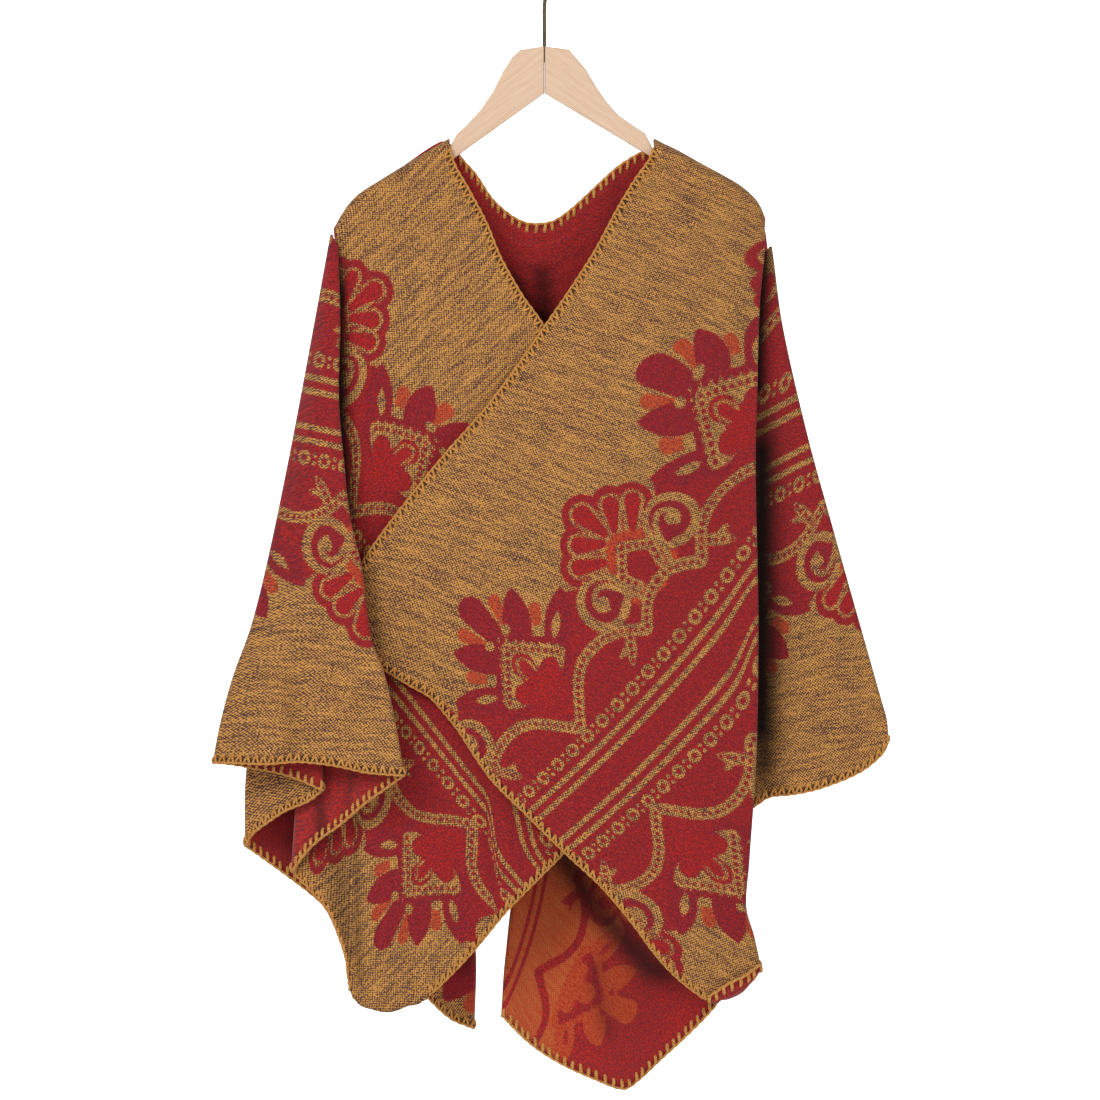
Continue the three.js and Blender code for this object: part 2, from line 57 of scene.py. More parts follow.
# ---- where the cloth hangs: rails down the folds, hems and top edges (x, y, z) ----
RAILS = {
    'armRightOuter': [(-199.5, -10, -261.7), (-210.7, -17, -324.4), (-235.1, -28, -456.2), (-257.5, -36, -565.6), (-273.4, -40, -629.2), (-290.2, -43, -675.9), (-301.4, -45, -717.1), (-308.9, -46, -755.4)],
    'armRightInner': [(-193.9, -15, -272.9), (-192, -36, -346.8), (-193, -51, -415.1), (-188.3, -61, -472.1), (-181.8, -70, -528.2), (-171.5, -78, -571.2), (-162.1, -87, -639.5), (-150, -91, -672.2), (-139.7, -95, -717.1), (-131.3, -98, -766.6)],
    'foldRightFront': [(-194.9, -9, -263.6), (-197.7, -12, -287.9), (-199.5, -18, -351.5), (-207.9, -26, -463.7), (-219.2, -28, -603.9), (-228.5, -27, -744.2), (-236, -23, -857.3)],
    'foldRightBack': [(-200.5, -11, -274.8), (-202.3, -14, -297.2), (-205.1, -21, -360.8), (-212.6, -35, -463.7), (-213.6, -46, -566.5), (-211.7, -56, -678.7), (-207, -63, -780.6)],
    'sideRightBack': [(-196.7, 9, -265.5), (-204.2, 0, -287.9), (-214.5, -5, -360.8), (-237.9, -11, -510.4), (-260.3, -13, -650.7), (-278.1, -12, -761.9), (-279.9, -10, -833.9)],
    'frontEdgeRight': [(-89.2, -9, -181.3), (-84.5, -11, -196.3), (-72.4, -16, -217.8), (-54.6, -22, -251.4), (-41.5, -28, -283.2), (-20.9, -33, -319.7), (-1.3, -37, -347.7), (52, -40, -454.3), (103.4, -38, -575.9), (145.5, -31, -697.4)],
    'frontEdgeLeft': [(102.5, -9, -181.3), (98.7, -10, -191.6), (85.6, -15, -210.3), (69.8, -20, -236.5), (44.5, -32, -283.2), (-0.4, -43, -350.5), (-49.9, -52, -419.7), (-95.7, -55, -472.1), (-140.6, -54, -528.2), (-167.7, -51, -566.5), (-197.7, -43, -622.6)],
    'armLeftFront': [(205.3, -9, -256.1), (205.3, -13, -276.7), (200.7, -22, -324.4), (197.8, -30, -415.1), (196.4, -35, -483.3), (198.8, -42, -620.8), (196.9, -46, -748.9), (190.4, -46, -848), (187.6, -44, -891), (195, -42, -918.1), (201.6, -40, -948)],
    'foldLeftFront': [(203.5, -8, -267.3), (196.9, -9, -300.1), (169.8, -13, -416.9), (126.8, -15, -622.6), (85.6, -14, -819)],
    'armLeftOuter': [(210, -3, -258), (213.7, -2, -284.2), (222.2, -1, -346.8), (245.5, 1, -449.2), (268.9, 2, -534.7), (294.2, 4, -624.5), (315.7, 6, -700.2), (320.3, 6, -717.1), (321.7, 6, -736.7)],
    'foldLeftBack': [(209.1, 3, -267.3), (207.2, 6, -300.1), (194.1, 12, -416.9), (169.8, 17, -603.9), (147.4, 20, -781.6)],
    'sideLeftBack': [(206.3, 9, -256.1), (209.1, 12, -287.9), (204.4, 24, -463.7), (194.1, 33, -622.6), (184.8, 40, -781.6), (180.1, 40, -856.4), (180.1, 36, -898.5), (186.6, 31, -938.7)],
    'pleatLeftEdge': [(166.1, 9, -215.4), (159.5, 12, -258), (145.5, 20, -351.5), (89.4, 27, -566.5), (20.2, 26, -753.5), (-24.7, 21, -865.7), (-35.9, 17, -940.5), (-39.6, 15, -993.8)],
    'pleatLeftInner': [(162.9, 9, -213.9), (164.2, 20, -262.6), (160.4, 42, -416.9), (145.5, 58, -603.9), (126.8, 64, -772.2), (103.4, 60, -907.8)],
    'pleatRightInner': [(-139.5, 9, -212), (-141.6, 5, -262.6), (-150, 1, -416.9), (-164.9, -4, -603.9), (-176.2, -8, -790.9), (-186.4, -9, -917.2)],
    'pleatRightEdge': [(-142.1, 9, -213.7), (-136.9, 14, -262.6), (-120.1, 28, -416.9), (-99.5, 38, -603.9), (-80.8, 42, -790.9), (-65.8, 36, -931.2), (-66.8, 31, -1006)],
}
HEMS = {
    'arm_right': [(-308.9, -46, -755.4), (-292.1, -52, -755.4), (-259.4, -64, -756.3), (-230.4, -74, -754.1), (-210.7, -80, -755.4), (-191.1, -86, -758.2), (-164.9, -92, -763.8), (-131.3, -98, -766.6)],
    'arm_right_inner_fold': [(-236, -23, -857.3), (-223.8, -33, -840.5), (-210.7, -42, -827.4), (-191.1, -56, -813.4), (-164.9, -76, -790.9), (-151.8, -85, -781.6), (-131.3, -98, -766.6)],
    'arm_right_back': [(-308.9, -46, -755.4), (-290.2, -47, -757.3), (-253.8, -51, -763.8), (-230.4, -55, -770.4), (-207, -63, -780.6)],
    'arm_right_back_fold': [(-279.9, -10, -833.9), (-273.4, -14, -822.7), (-260.3, -24, -812.4), (-243.5, -36, -801.2), (-220.1, -52, -790.9), (-207, -63, -780.6)],
    'front_right': [(-236, -23, -857.3), (-214.5, -31, -879.8), (-201.4, -35, -896.6), (-191.1, -38, -920.9), (-184.6, -40, -942.4), (-179.9, -42, -970.4), (-166.8, -42, -982.6), (-146.2, -42, -986.3), (-128.5, -42, -981.7), (-111.6, -42, -975.1), (-94.8, -42, -961.1), (-64.4, -43, -929.3), (-34, -44, -892.8), (14.6, -45, -843.3), (61.3, -44, -793.7), (103.4, -38, -748.9), (145.5, -31, -697.4)],
    'front_left': [(-197.7, -43, -622.6), (-177.1, -52, -650.7), (-150.9, -58, -667.5), (-126.6, -60, -682.5), (-107, -61, -693.7), (-94.8, -61, -706.8), (-79.8, -61, -725.5), (-64.4, -60, -749.3), (-47.1, -60, -773.2), (-21.9, -59, -798.4), (19.3, -58, -839.1), (49.2, -57, -866.7), (66.9, -56, -886.3), (85.6, -55, -909.7), (101.1, -53, -931.2), (120.2, -51, -952.7), (141.7, -48, -970.4), (156.7, -46, -977.9), (184.8, -42, -967.6), (201.6, -40, -948)],
    'arm_left_front_fold': [(85.6, -14, -819), (126.8, -24, -865.7), (168.9, -36, -917.2), (201.6, -40, -948)],
    'arm_left': [(85.6, -14, -819), (136.1, -11, -811.5), (173.5, -8, -804), (194.1, -7, -798.4), (210.9, -6, -788.1), (232, -4, -785.8), (259.6, -1, -779.7), (296, 3, -764.7), (317.5, 5.5, -747), (321.7, 6, -736.7)],
    'arm_left_back': [(147.4, 20, -781.6), (229.6, 15, -767.6), (321.7, 6, -736.7)],
    'arm_left_back_fold': [(147.4, 20, -781.6), (166.1, 26, -856.4), (186.6, 31, -938.7)],
    'back_left': [(-39.6, 15, -993.8), (-13.5, 18, -1020), (14.6, 20, -1038.7), (52, 22, -1055.5), (74.4, 24, -1063), (83.8, 24, -1058.3), (108.1, 26, -1036.8), (136.1, 28, -1010.7), (164.2, 29, -979.8), (186.6, 31, -938.7)],
    'back_left_pleat': [(-39.6, 15, -993.8), (28.6, 36, -954.6), (103.4, 60, -907.8)],
    'back_centre': [(-186.4, -9, -917.2), (-139.7, -7, -889.1), (-88.3, 2, -856.4), (-32.2, 26, -839.5), (23.9, 46, -848.9), (66, 56, -875.1), (103.4, 60, -907.8)],
    'back_right_pleat': [(-186.4, -9, -917.2), (-149, 3, -942.4), (-111.6, 15, -975.1), (-88.3, 24, -996.6), (-66.8, 31, -1006)],
    'back_right': [(-279.9, -10, -833.9), (-263.1, -4, -846.1), (-243.5, 2, -860.6), (-220.1, 9, -878.8), (-181.8, 18, -912.5), (-135, 26, -954.6), (-97.6, 30, -985.4), (-66.8, 31, -1006)],
}
TOPS = {
    'front_right': [(-194.9, -9, -263.6), (-188.3, -9, -250.5), (-176.2, -9, -235.5), (-155.6, -9, -221.5), (-89.2, -9, -181.3)],
    'front_left': [(102.5, -9, -181.3), (177.3, -9, -221.5), (192.2, -9, -232.7), (200.7, -9, -243), (205.3, -9, -256.1)],
    'back_right': [(-196.7, 9, -265.5), (-188.3, 9, -250.5), (-176.2, 9, -235.5), (-155.6, 9, -221.5), (-142.1, 9, -213.7)],
    'back_left': [(166.1, 9, -215.4), (177.3, 9, -221.5), (192.2, 9, -232.7), (200.7, 9, -243), (206.3, 9, -256.1)],
    'back_centre': [(-139.5, 9, -212), (-89.2, 9, -181.3), (-76.1, 10, -195.3), (-64.9, 12, -207.5), (-49.9, 15, -229.9), (-35.9, 17, -243), (-20, 18, -252.4), (-7.9, 18, -254.2), (8, 18, -251.9), (23, 17, -242.1), (38.9, 15, -228.1), (57.6, 13, -210.8), (72.6, 14, -198.1), (94.1, 13, -186), (108.1, 10, -184.6), (162.9, 9, -213.9)],
}

# name, rails, fold turns, bulge, waves, wave, roll, from, cell across, cell down, side that faces front
PANELS = [
    ("front_left", "frontEdgeLeft", "armLeftFront", 0, -1, -10, 1.5, 3, -1, 0, 2.9, 3.5, "outer"),
    ("front_right", "foldRightFront", "frontEdgeRight", 1, 0, -4, 1.5, 3, -1, 0, 2.9, 3.5, "outer"),
    ("arm_left_front_fold", "foldLeftFront", "armLeftFront", -1, 1, 0, 0, 0, 0, 0.08, 5, 6, "inner"),
    ("arm_left", "foldLeftFront", "armLeftOuter", 1, -1, -3, 1, 2, 0, 0.03, 2.9, 3.2, "outer"),
    ("arm_left_back", "foldLeftBack", "armLeftOuter", -1, 1, 0, 0, 0, 0, 0.08, 5, 6, "inner"),
    ("arm_left_back_fold", "foldLeftBack", "sideLeftBack", 1, -1, 0, 0, 0, 0, 0.12, 4, 6, "outer"),
    ("arm_right_inner_fold", "foldRightFront", "armRightInner", -1, 1, 0, 0, 0, 0, 0.1, 3.5, 4.5, "inner"),
    ("arm_right", "armRightOuter", "armRightInner", -1, -1, -8, 1, -3, 0, 0, 2.7, 2.9, "outer"),
    ("arm_right_back", "armRightOuter", "foldRightBack", 1, -1, 0, 0, 0, 0, 0.1, 3.5, 4.5, "inner"),
    ("arm_right_back_fold", "sideRightBack", "foldRightBack", -1, 1, 0, 0, 0, 0, 0.12, 3.5, 4.5, "outer"),
    ("back_left", "pleatLeftEdge", "sideLeftBack", -1, 1, 4, 2, 7, 1, 0, 3.5, 4.0, "inner"),
    ("back_left_pleat", "pleatLeftEdge", "pleatLeftInner", 1, -1, 0, 0, 0, 0, 0.14, 5.5, 7.5, "outer"),
    ("back_centre", "pleatRightInner", "pleatLeftInner", -1, 1, 6, 2, -5, 1, 0, 5.5, 6.5, "inner"),
    ("back_right_pleat", "pleatRightInner", "pleatRightEdge", 1, -1, 0, 0, 0, 0, 0.14, 3, 4, "outer"),
    ("back_right", "sideRightBack", "pleatRightEdge", 1, 1, 14, 1.5, 7, 1, 0, 5, 6.5, "inner"),
]
KEYS = ("name", "left", "right", "turn_left", "turn_right", "bulge", "waves", "wave", "roll", "start", "across", "down", "face")
PANELS = [dict(zip(KEYS, p)) for p in PANELS]

# ---- how the ornament lies on each stretch: listed points (x, z, along the border, from its centre stripe) ----
LAY = {
    'front_left': [
        (102.8, -366.1, -147, 215), (139.9, -417.9, -147, 153), (152.0, -347.7, -194, 184), (91.4, -435.8, -104, 181), (189.7, -384.2, -199, 131), (122.1, -479.9, -97, 130),
        (98.5, -485.2, -82, 144), (30.1, -517.0, 0, 189), (59.9, -545.6, 0, 148), (107.6, -588.5, 0, 84), (115.9, -533.6, -49, 110), (57.5, -611.2, 49, 110),
        (142.7, -577.7, -37, 64), (93.3, -635.1, 37, 64), (-83.1, -603.3, 147, 215), (-39.0, -646.0, 147, 154), (31.4, -719.9, 147, 50), (-30.7, -591.4, 100, 184),
        (-86.7, -658.2, 190, 181), (9.9, -626.0, 96, 131), (-55.7, -700.5, 198, 130), (169.4, -660.0, 12, 0), (14.6, -816.8, 227, 0), (157.6, -624.5, -12, 25),
        (24.4, -757.1, 196, 40), (162.9, -723.0, 62, -40), (116.9, -766.3, 124, -40), (42.8, -833.2, 222, -40), (109.0, -805.6, 147, -50), (178.6, -775.5, 72, -88),
        (182.9, -879.8, 147, -152), (170.7, -824.0, 109, -111), (59.2, -850.3, 228, -66), (-116.3, -552.5, 150, 290), (52.0, -244.0, -330, 330),
    ],
    'back_left': [
        (20.7, -852.6, 44, 14), (-31.5, -925.6, 134, 14), (23.7, -867.6, 56, 25), (-33.1, -945.0, 152, 25), (-1.7, -930.1, 120, 40), (-24.0, -963.0, 157, 40),
        (-0.8, -958.3, 147, 50), (52.0, -982.3, 147, 154), (74.4, -998.5, 147, 215), (74.4, -942.0, 101, 184), (52.0, -1033.0, 193, 184), (38.6, -909.2, 77, 90),
        (-1.7, -1001.7, 188, 86), (34.1, -927.2, 103, 84), (36.4, -973.2, 147, 128), (145.5, -940.5, 60, 300), (173.5, -977.9, 80, 330), (89.4, -1057.4, 230, 280),
        (52.0, -697.4, -160, 120), (145.5, -510.4, -330, 200),
    ],
    'back_right_pleat': [
        (-97.6, -977.9, 99, 184), (-68.6, -977.9, 123, 184), (-97.6, -931.2, 99, 134), (-68.6, -931.2, 123, 134), (-97.6, -1006.0, 99, 214), (-68.6, -1006.0, 123, 214),
        (-97.6, -790.9, 99, 20), (-68.6, -790.9, 123, 20),
    ],
    'front_right': [
        (-172.4, -530.1, 147, 50), (-105.8, -451.5, 147, 154), (-68.8, -414.6, 147, 215), (-111.4, -391.2, 101, 184), (-151.8, -425.5, 96, 131), (-185.5, -447.5, 92, 92),
        (-174.4, -366.4, 33, 141), (-182.7, -406.4, 50, 108), (-141.3, -673.5, 292, -14), (-54.3, -776.6, 427, -14), (-126.8, -728.3, 344, -40), (-138.0, -708.9, 321, -40),
        (-79.3, -778.2, 412, -40), (-159.0, -794.3, 344, -110), (-133.1, -790.9, 352, -84), (-73.3, -811.5, 441, -50), (-97.8, -815.2, 424, -72), (-128.5, -886.0, 441, -152),
        (-128.5, -837.7, 401, -111), (-83.3, -870.4, 478, -111), (-147.7, -839.4, 391, -131), (-150.9, -869.9, 405, -165), (-161.2, -920.0, 441, -215), (-115.4, -933.0, 487, -184),
        (-164.9, -865.7, 395, -184), (-73.3, -918.1, 521, -149), (-84.5, -897.5, 491, -131), (-22.8, -323.4, -20, 330), (14.6, -435.6, 60, 330),
    ],
    'arm_right': [
        (-212.4, -386.5, 79, 40), (-227.4, -424.1, 92, 0), (-193.7, -433.8, 57, 0), (-223.1, -466.0, 92, -40), (-201.7, -470.2, 68, -40), (-227.6, -489.6, 88, -66),
        (-207.9, -508.9, 55, -76), (-188.8, -508.9, 37, -64), (-246.7, -524.0, 112, -88), (-223.1, -519.7, 85, -88), (-203.8, -551.8, 50, -110), (-193.1, -588.3, 33, -141),
        (-180.2, -605.5, 17, -155), (-169.6, -624.9, 0, -170), (-250.0, -572.1, 97, -131), (-231.7, -586.2, 67, -149), (-256.6, -596.9, 97, -157), (-267.1, -618.4, 101, -184),
        (-228.5, -734.8, 70, -310), (-294.0, -739.5, 135, -320),
    ],
    'arm_left': [
        (231.5, -404.4, 72, 40), (243.7, -442.9, 62, 0), (206.2, -465.3, 105, 0), (229.4, -493.6, 85, -40), (248.6, -482.4, 64, -40), (241.6, -524.0, 37, -64),
        (226.4, -553.4, 72, -88), (207.2, -565.6, 95, -90), (249.6, -565.6, 48, -110), (276.0, -589.9, 30, -141), (288.2, -608.1, 15, -155), (230.5, -611.2, 97, -131),
        (233.4, -630.5, 98, -157), (235.2, -650.7, 102, -180), (285.7, -739.5, 60, -310), (229.6, -772.2, 140, -320),
    ],
}
# where a tight fold swallows some of the cloth: line, half width, amount
SHIFTS = {"front_right": [([(-54.6, -767.6), (-51.8, -790.9), (-49.5, -826.5), (-45.3, -865.7), (-42.4, -898.5)], 5, 34)]}


# for the stretches that hardly show: (along, from the centre stripe) at top left, top right, hem left, hem right
# how far the weave is turned from level, degrees
YARN_TURN = {"front_left": -25, "front_right": 44, "arm_left": 12, "arm_right": -14, "back_left": -50, "arm_left_front_fold": 20}

LAY_FLAT = {
    "arm_left_front_fold": ((-250, -10), (-250, 10), (420, 40), (420, -80)),
    "arm_left_back": ((-120, 150), (-100, 150), (10, -327), (170, -327)),
    "arm_left_back_fold": ((0, 130), (10, 130), (60, -327), (100, -327)),
    "arm_right_inner_fold": ((-250, 230), (-250, 220), (400, 327), (400, 210)),
    "arm_right_back": ((-100, 250), (-90, 250), (10, 327), (110, 327)),
    "arm_right_back_fold": ((-250, 300), (-250, 290), (400, 327), (400, 250)),
    "back_left": ((-420, -10), (-420, -60), (330, 115), (330, -110)),
    "back_left_pleat": ((-250, 90), (-250, 100), (360, 115), (360, 250)),
    "back_centre": ((-340, 300), (-340, 300), (380, 215), (380, 250)),
    "back_right_pleat": ((-250, 150), (-250, 120), (400, 215), (400, 96)),
    "back_right": ((-330, 327), (-330, 300), (330, 345), (330, 245)),
}

# ---- soft creases: line of (x, z), half width mm, height mm towards the viewer ----
CREASES = {
    'front_right': [
        ([(-54.6, -767.6), (-51.8, -790.9), (-49.5, -826.5), (-45.3, -865.7), (-42.4, -898.5)], 6.5, -3.4),
        ([(-64.9, -781.6), (-62.1, -828.3), (-54.6, -884.4)], 9.4, 2.0),
        ([(-34.0, -781.6), (-35.9, -828.3), (-30.3, -875.1)], 8.4, 2.2),
        ([(-174.3, -819.0), (-172.4, -884.4), (-166.8, -977.9)], 13.1, -2.6),
        ([(-200.5, -790.9), (-195.8, -865.7), (-179.9, -940.5)], 11.2, 1.6),
        ([(-107.0, -529.1), (-116.3, -622.6), (-111.6, -697.4)], 24.3, 1.6),
    ],
    'arm_right': [
        ([(-232.3, -641.3), (-235.1, -697.4), (-232.3, -758.2)], 9.4, -4.5),
        ([(-205.1, -641.3), (-200.5, -697.4), (-195.8, -753.5)], 15.0, 3),
        ([(-261.2, -641.3), (-270.6, -697.4), (-275.3, -748.9)], 13.1, 3),
        ([(-186.4, -510.4), (-170.5, -603.9), (-149.0, -697.4)], 9.4, 2.0),
    ],
    'front_left': [
        ([(145.5, -267.3), (89.4, -435.6), (14.6, -566.5)], 35.5, 2.2),
        ([(108.1, -286.0), (14.6, -454.3), (-69.6, -566.5)], 28.1, -1.8),
        ([(178.2, -435.6), (145.5, -622.6), (89.4, -790.9)], 31.8, -2.0),
        ([(164.2, -697.4), (136.1, -809.6), (136.1, -940.5)], 24.3, 2.2),
        ([(52.0, -641.3), (14.6, -734.8), (-22.8, -781.6)], 26.2, 1.8),
    ],
    'arm_left': [
        ([(215.6, -435.6), (229.6, -566.5), (239.0, -697.4)], 15.0, -3),
        ([(267.0, -603.9), (285.7, -697.4), (295.1, -753.5)], 13.1, 2.2),
    ],
    'back_left': [
        ([(52.0, -940.5), (70.7, -987.3), (89.4, -1034.0)], 16.8, -2.5),
    ],
    'arm_right_inner_fold': [
        ([(-181.8, -762.9), (-186.4, -790.9), (-191.1, -828.3)], 8.4, -2.2),
    ],
    'back_right': [
        ([(-237.9, -833.0), (-236.0, -856.4)], 7.5, -2),
    ],
}
# where a hem curls: name, from x, to x, height, way (-1 to the front), bend radius
CURLS = [("front_left", 151.1, 203.5, 12, -1, 2.0), ("front_right", -182.7, -107.0, 11, 1, 2.6)]
# painted shade in the folds, darkest where the cloth lies far inside one: line of (x, z), half width mm, depth 0-1 (how
# dark the painted shade gets)
PAINTED_FOLD_SHADE = {
    'arm_left': [
        ([(206.3, -253.3), (205.3, -276.7), (200.7, -351.5), (199.7, -435.6)], 8.4, 0.97),
        ([(202.5, -398.2), (203.5, -491.7), (203.5, -603.9), (203.5, -716.1), (203.5, -790.9)], 16.8, 1.0),
        ([(212.8, -603.9), (209.1, -697.4), (203.5, -790.9)], 12.2, 0.8),
    ],
    'front_right': [
        ([(-190.2, -262.6), (-191.1, -351.5), (-190.2, -435.6), (-186.4, -510.4), (-181.8, -566.5)], 6.5, 0.97),
        ([(-196.7, -819.0), (-191.1, -884.4), (-183.6, -963.9)], 14.0, 0.45),
        ([(-175.2, -790.9), (-176.2, -847.0), (-175.2, -912.5), (-172.4, -977.9)], 4.7, 0.42),
        ([(-207.9, -753.5), (-200.5, -847.0), (-186.4, -940.5)], 13.1, 0.25),
        ([(-170.5, -688.1), (-161.2, -725.5), (-149.0, -781.6)], 9.4, 0.5),
    ],
    'back_left': [
        ([(-22.8, -856.4), (14.6, -842.4), (52.0, -898.5), (98.7, -949.9), (145.5, -968.6)], 14.0, 0.8),
        ([(52.0, -931.2), (48.2, -968.6), (61.3, -1024.7)], 8.4, 0.3),
    ],
    'back_centre': [
        ([(-3.2, -281.4), (-0.4, -323.4), (-1.3, -370.2)], 9.4, 0.7),
        ([(-38.7, -287.9), (-20.9, -323.4), (-1.3, -370.2)], 8.4, 0.7),
        ([(-8.8, -323.4), (-1.3, -342.1), (5.2, -379.5)], 15.0, 0.85),
    ],
    'back_right': [
        ([(-237.9, -819.0), (-228.5, -837.7), (-209.8, -790.9)], 13.1, 0.5),
        ([(-205.1, -790.9), (-207.9, -837.7), (-206.1, -884.4)], 8.4, 0.5),
    ],
    'arm_right_inner_fold': [
        ([(-209.8, -781.6), (-207.9, -819.0), (-211.7, -856.4)], 6.5, 0.6),
        ([(-177.1, -753.5), (-181.8, -790.9), (-186.4, -819.0)], 4.7, 0.35),
    ],
    'arm_right': [
        ([(-186.4, -454.3), (-172.4, -529.1), (-161.2, -603.9)], 3.7, 0.5),
        ([(-237.9, -660.0), (-236.0, -706.8), (-234.1, -758.2)], 7.5, 0.22),
    ],
    'back_right_pleat': [
        ([(-69.6, -884.4), (-71.4, -931.2), (-78.9, -963.9)], 9.4, 0.4),
    ],
}
# where the ornament is drawn aside by a rolled fold: x, z, reach x, reach z, from dx, from dz
NUDGES = {"front_left": [(209.1, -287.9, 34, 46, -17, 0), (203.5, -641.3, 20, 52, 0, -25), (145.5, -365.5, 60, 36, -7, -15), (136.1, -482.4, 50, 28, -3, 9)]}



# the part of the flat cut that each stretch of cloth shows: width, length, area
SHOWN_CUT = {
    'front_left': (0.569, 0.655, 0.193),
    'front_right': (0.588, 0.724, 0.2),
    'arm_left_front_fold': (0.146, 0.579, 0.042),
    'arm_left': (0.264, 0.51, 0.069),
    'arm_left_back': (0.186, 0.464, 0.045),
    'arm_left_back_fold': (0.064, 0.531, 0.017),
    'arm_right_inner_fold': (0.161, 0.489, 0.035),
    'arm_right': (0.192, 0.494, 0.046),
    'arm_right_back': (0.113, 0.449, 0.024),
    'arm_right_back_fold': (0.109, 0.472, 0.025),
    'back_left': (0.315, 0.847, 0.115),
    'back_left_pleat': (0.177, 0.646, 0.058),
    'back_centre': (0.349, 0.636, 0.218),
    'back_right_pleat': (0.16, 0.645, 0.055),
    'back_right': (0.287, 0.703, 0.113),
}

# =====================================================================
#  cloth geometry
# =====================================================================
def curve(rows):
    p = np.array(rows, float)
    if len(p) == 2:
        return lambda u: p[0] + (p[1] - p[0]) * np.asarray(u, float)[..., None]
    at = np.concatenate([[0], np.cumsum(np.linalg.norm(np.diff(p, axis=0), axis=1))])
    a = np.maximum(0, np.arange(len(p)) - 1)
    b = np.minimum(len(p) - 1, np.arange(len(p)) + 1)
    slope = (p[b] - p[a]) / (at[b] - at[a])[:, None]

    def f(u):
        d = np.clip(np.asarray(u, float), 0, 1) * at[-1]
        i = np.clip(np.searchsorted(at, d, side="right") - 1, 0, len(p) - 2)
        h = at[i + 1] - at[i]
        k = (d - at[i]) / h
        k, h = k[..., None], h[..., None]
        k2, k3 = k * k, k * k * k
        return (p[i] * (2 * k3 - 3 * k2 + 1) + slope[i] * (k3 - 2 * k2 + k) * h
                + p[i + 1] * (-2 * k3 + 3 * k2) + slope[i + 1] * (k3 - k2) * h)
    return f


def patch(panel):
    left, right = curve(RAILS[panel["left"]]), curve(RAILS[panel["right"]])
    start = panel["start"]
    L = lambda t: left(start + (1 - start) * t)
    R = lambda t: right(start + (1 - start) * t)
    zero = np.zeros(1)
    T = curve(TOPS.get(panel["name"], [L(zero)[0], R(zero)[0]]))
    H = curve(HEMS[panel["name"]])
    T0, T1, H0, H1 = T(zero)[0], T(zero + 1)[0], H(zero)[0], H(zero + 1)[0]

    def at(s, t):
        S, U = s[..., None], t[..., None]
        q = L(t) * (1 - S) + R(t) * S + T(s) * (1 - U) + H(s) * U
        q = q - (T0 * (1 - S) * (1 - U) + T1 * S * (1 - U) + H0 * (1 - S) * U + H1 * S * U)
        q[..., 1] += panel["bulge"] * np.sin(np.pi * s) * np.sin(np.pi * np.minimum(1, 0.06 + 0.94 * t)).clip(0) ** 0.8
        q[..., 1] += panel["wave"] * np.sin(2 * np.pi * panel["waves"] * s) * np.sin(np.pi * s).clip(0) ** 0.5 * t ** 1.2
        return q
    return at


def smooth(x):
    x = np.clip(x, 0, 1)
    return x * x * (3 - 2 * x)


def line_distance(x, y, line):
    """Distance to a polyline, the side, and how far along it (0-1) the nearest point is."""
    best = np.full(x.shape, 1e9)
    along = np.zeros(x.shape)
    arc = np.zeros(x.shape)
    side = np.ones(x.shape)
    line = np.array(line, float)
    lens = np.linalg.norm(np.diff(line, axis=0), axis=1)
    total = lens.sum()
    run = 0.0
    for (ax, ay), (bx, by), n in zip(line[:-1], line[1:], lens):
        dx, dy = (bx - ax) / n, (by - ay) / n
        t = np.clip((x - ax) * dx + (y - ay) * dy, 0, n)
        d = np.hypot(x - ax - dx * t, y - ay - dy * t)
        m = d < best
        best = np.where(m, d, best)
        along = np.where(m, (run + t) / total, along)
        arc = np.where(m, run + t, arc)
        side = np.where(m, np.sign((x - ax) * dy - (y - ay) * dx), side)
        run += n
    return best, side, along, arc


def creases(name, q):
    """Small soft folds, along y, so that no outline moves."""
    x, z = q[..., 0], q[..., 2]
    lift = np.zeros(x.shape)
    for line, width, height in CREASES.get(name, []):
        d, side, along, _ = line_distance(x, z, line)
        taper = np.sin(np.pi * np.clip(along, 0.02, 0.98)) ** 0.6
        lift += height * taper * np.exp(-(d / width) ** 2)
    return lift


def depths(name, q):
    """How much painted shade each point gets, 0-1, from how far inside a fold it lies."""
    out = np.zeros(q.shape[:2])
    for line, width, amount in PAINTED_FOLD_SHADE.get(name, []):
        d, side, along, _ = line_distance(q[..., 0], q[..., 2], line)
        taper = np.minimum(1, np.minimum(along, 1 - along) * 6)
        out = np.maximum(out, amount * taper * np.exp(-(d / width) ** 2))
    return np.clip(out, 0, 1)


def on_shoulder(x):
    return np.clip(np.maximum(NECK_RIGHT - x, x - NECK_LEFT) / 6, 0, 1)


